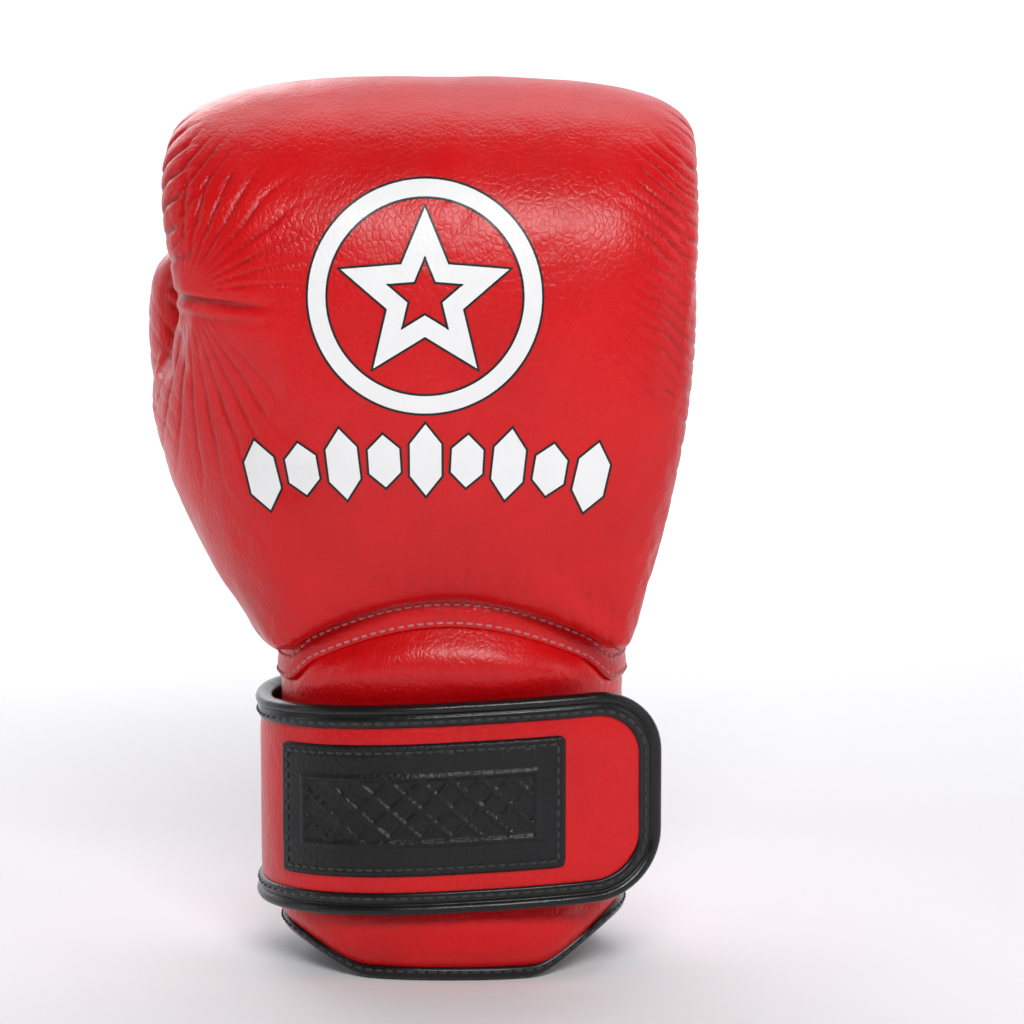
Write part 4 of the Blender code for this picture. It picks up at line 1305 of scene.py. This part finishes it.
def print_shapes():
    """Outlines in x and z, each with the outline of its hole if it has one."""
    centre = np.array((PRINT_X, PRINT_Z))
    shapes = [
        tuple(centre + outline_circle(radius) for radius in RING_RADII),
        tuple(centre + even_outline(outline_star(5, tip), 16) for tip in STAR_TIPS),
    ]
    for k in range(-4, 5):
        place = (PRINT_X + ROW_STEP * k, ROW_Z - ROW_DROP * (ROW_STEP * k) ** 2)
        tall = LOZENGE_TALL if k % 2 == 0 else LOZENGE_SHORT
        bar = outline_lozenge(tall, -ROW_LEAN * ROW_STEP * k) + np.array(place)
        shapes.append((even_outline(bar, 8), None))
    return shapes


def make_print(tree):
    """A plain emblem: a ring round a hollow star, above an arched row of lozenges, with black edges."""
    white, black = [], []
    for outer, hole in print_shapes():
        white.append(flat_sheet(outer, hole))
        black.append(flat_sheet(grow_outline(outer, PRINT_EDGE), outer))
        if hole is not None:
            black.append(flat_sheet(hole, grow_outline(hole, -PRINT_EDGE)))
    lay_on(tree, "print_white", white, 0.12, PRINT_WHITE)
    lay_on(tree, "print_edge", black, 0.13, PRINT_BLACK)


# ---- CAD nodes that stay as they are ----


def tape_look(name, colour, pitch, height, fuzz_share):
    """Moulded hooks in rows, or brushed loops where the fuzz share is high."""
    look = Look(name)
    dots = look.cells(1000.0 / pitch)
    fuzz = look.noise(2200.0, 5.0, 0.7)
    knobs = look.maths("MULTIPLY", look.spread(dots, 0.45, 0.1), 1.0 - fuzz_share)
    tone = look.maths("ADD", knobs, look.maths("MULTIPLY", fuzz, fuzz_share))
    look.join(look.mix(look.spread(tone, 0.15, 0.85), [c * 0.35 for c in colour], colour), "Base Color")
    look.join(look.bump(tone, height * MM, 1.0), "Normal")
    look.fixed(Roughness=0.6 + 0.35 * fuzz_share, Sheen_Weight=0.3 * fuzz_share)
    return look.material


def dress_nodes():
    hooks = tape_look("hook_tape", (0.035, 0.035, 0.038), 1.3, 1.2, 0.15)
    loops = tape_look("loop_tape", (0.03, 0.03, 0.032), 1.0, 1.4, 0.75)
    looks = {
        "hook_patch": hooks,
        "loop_patch": loops,
        "thumb_tether": RED,
    }
    inside = ("hand_lining", "thumb_lining", "cuff_lining", "grip_bar", "slot_gusset")
    looks.update(dict.fromkeys(inside, FABRIC))
    for node, look in looks.items():
        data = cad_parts[node].data
        data.materials.clear()
        data.materials.append(look)


# ---- stage ----


def make_stage():
    """A pale floor that sweeps up into a wall behind the glove, with a painted glow that grows towards the
    back.
    """
    bend, turns = 1.4, np.linspace(0, math.pi / 2, 24)[1:]
    profile = [(-9.0, 0.0), (-1.0, 0.0), (bend, 0.0)]
    profile += [(bend + bend * math.sin(t), bend - bend * math.cos(t)) for t in turns]
    profile += [(2 * bend, 7.0)]
    points = [(x, y, z) for y, z in profile for x in (-9.0, 9.0)]
    data = bpy.data.meshes.new("floor")
    data.from_pydata(points, [], grid_faces(len(profile), 2))
    data.shade_smooth()
    floor = bpy.data.objects.new("floor", data)
    bpy.context.scene.collection.objects.link(floor)
    look = Look("floor_paint_and_glow")
    look.join(look.mix(look.noise(0.6), (0.84, 0.84, 0.86), (0.88, 0.88, 0.89)), "Base Color")
    place = look.node("ShaderNodeSeparateXYZ", {"Vector": look.where})
    # Painted light: the floor glows more the further back it lies, brightening the sweep and the wall behind
    # the glove.
    look.join(look.spread(place.outputs[1], 0.2, 2.0, 0.0, 0.8), "Emission Strength")
    look.fixed(Roughness=0.8, Specular_IOR_Level=0.1, Emission_Color=(0.95, 0.95, 1.0, 1.0))
    data.materials.append(look.material)

    world = bpy.data.worlds.new("studio")
    world.use_nodes = True
    world.node_tree.nodes["Background"].inputs["Color"].default_value = (0.93, 0.94, 0.97, 1.0)
    world.node_tree.nodes["Background"].inputs["Strength"].default_value = 0.11
    bpy.context.scene.world = world
    bpy.context.scene.view_settings.view_transform = "Standard"
    # name, place, aim, size, watts
    lamps = (
        ("key_light", (0.22, -1.35, 1.05), (0.0, 0.0, 0.2), (0.75, 0.4), 17.0),
        ("left_light", (-1.5, -0.3, 0.5), (0.0, 0.0, 0.15), (0.4, 1.2), 2.6),
        ("right_light", (1.4, -0.5, 0.6), (0.0, 0.0, 0.15), (0.4, 1.0), 3.6),
        ("top_light", (0.0, 0.4, 1.5), (0.0, 0.0, 0.15), (1.4, 0.6), 6.0),
        ("back_light", (-0.6, 1.3, 0.9), (0.0, 0.0, 0.15), (0.9, 0.6), 5.0),
    )
    for name, place, aim, (wide, tall), watts in lamps:
        lamp = bpy.data.lights.new(name, "AREA")
        lamp.shape, lamp.size, lamp.size_y, lamp.energy = "RECTANGLE", wide, tall, watts
        obj = bpy.data.objects.new(name, lamp)
        obj.location = place
        obj.rotation_euler = (Vector(aim) - Vector(place)).to_track_quat("-Z", "Y").to_euler()
        bpy.context.scene.collection.objects.link(obj)


def make_camera():
    """The glove stands left of the middle, seen from a little above."""
    camera = bpy.data.cameras.new("camera")
    camera.sensor_width, camera.lens = 36.0, 103.7
    obj = bpy.data.objects.new("camera", camera)
    bpy.context.scene.collection.objects.link(obj)
    aside = 0.0205 + WRIST.x
    aim = Vector((aside, 0.0, 0.152))
    obj.location = (aside, -1.0, 0.152 + math.tan(math.radians(6.5)))
    obj.rotation_euler = (aim - obj.location).to_track_quat("-Z", "Y").to_euler()
    bpy.context.scene.camera = obj


make_camera()
make_stage()
hand_tree = BVHTree.FromObject(make_hand(), bpy.context.evaluated_depsgraph_get())
make_thumb_stitches(hand_tree)
make_print(hand_tree)
make_cuff()
make_welt()
make_rim_binding()
make_slot_binding()
make_strap_leather()
make_strap_piping()
make_label()
make_badge()
dress_nodes()
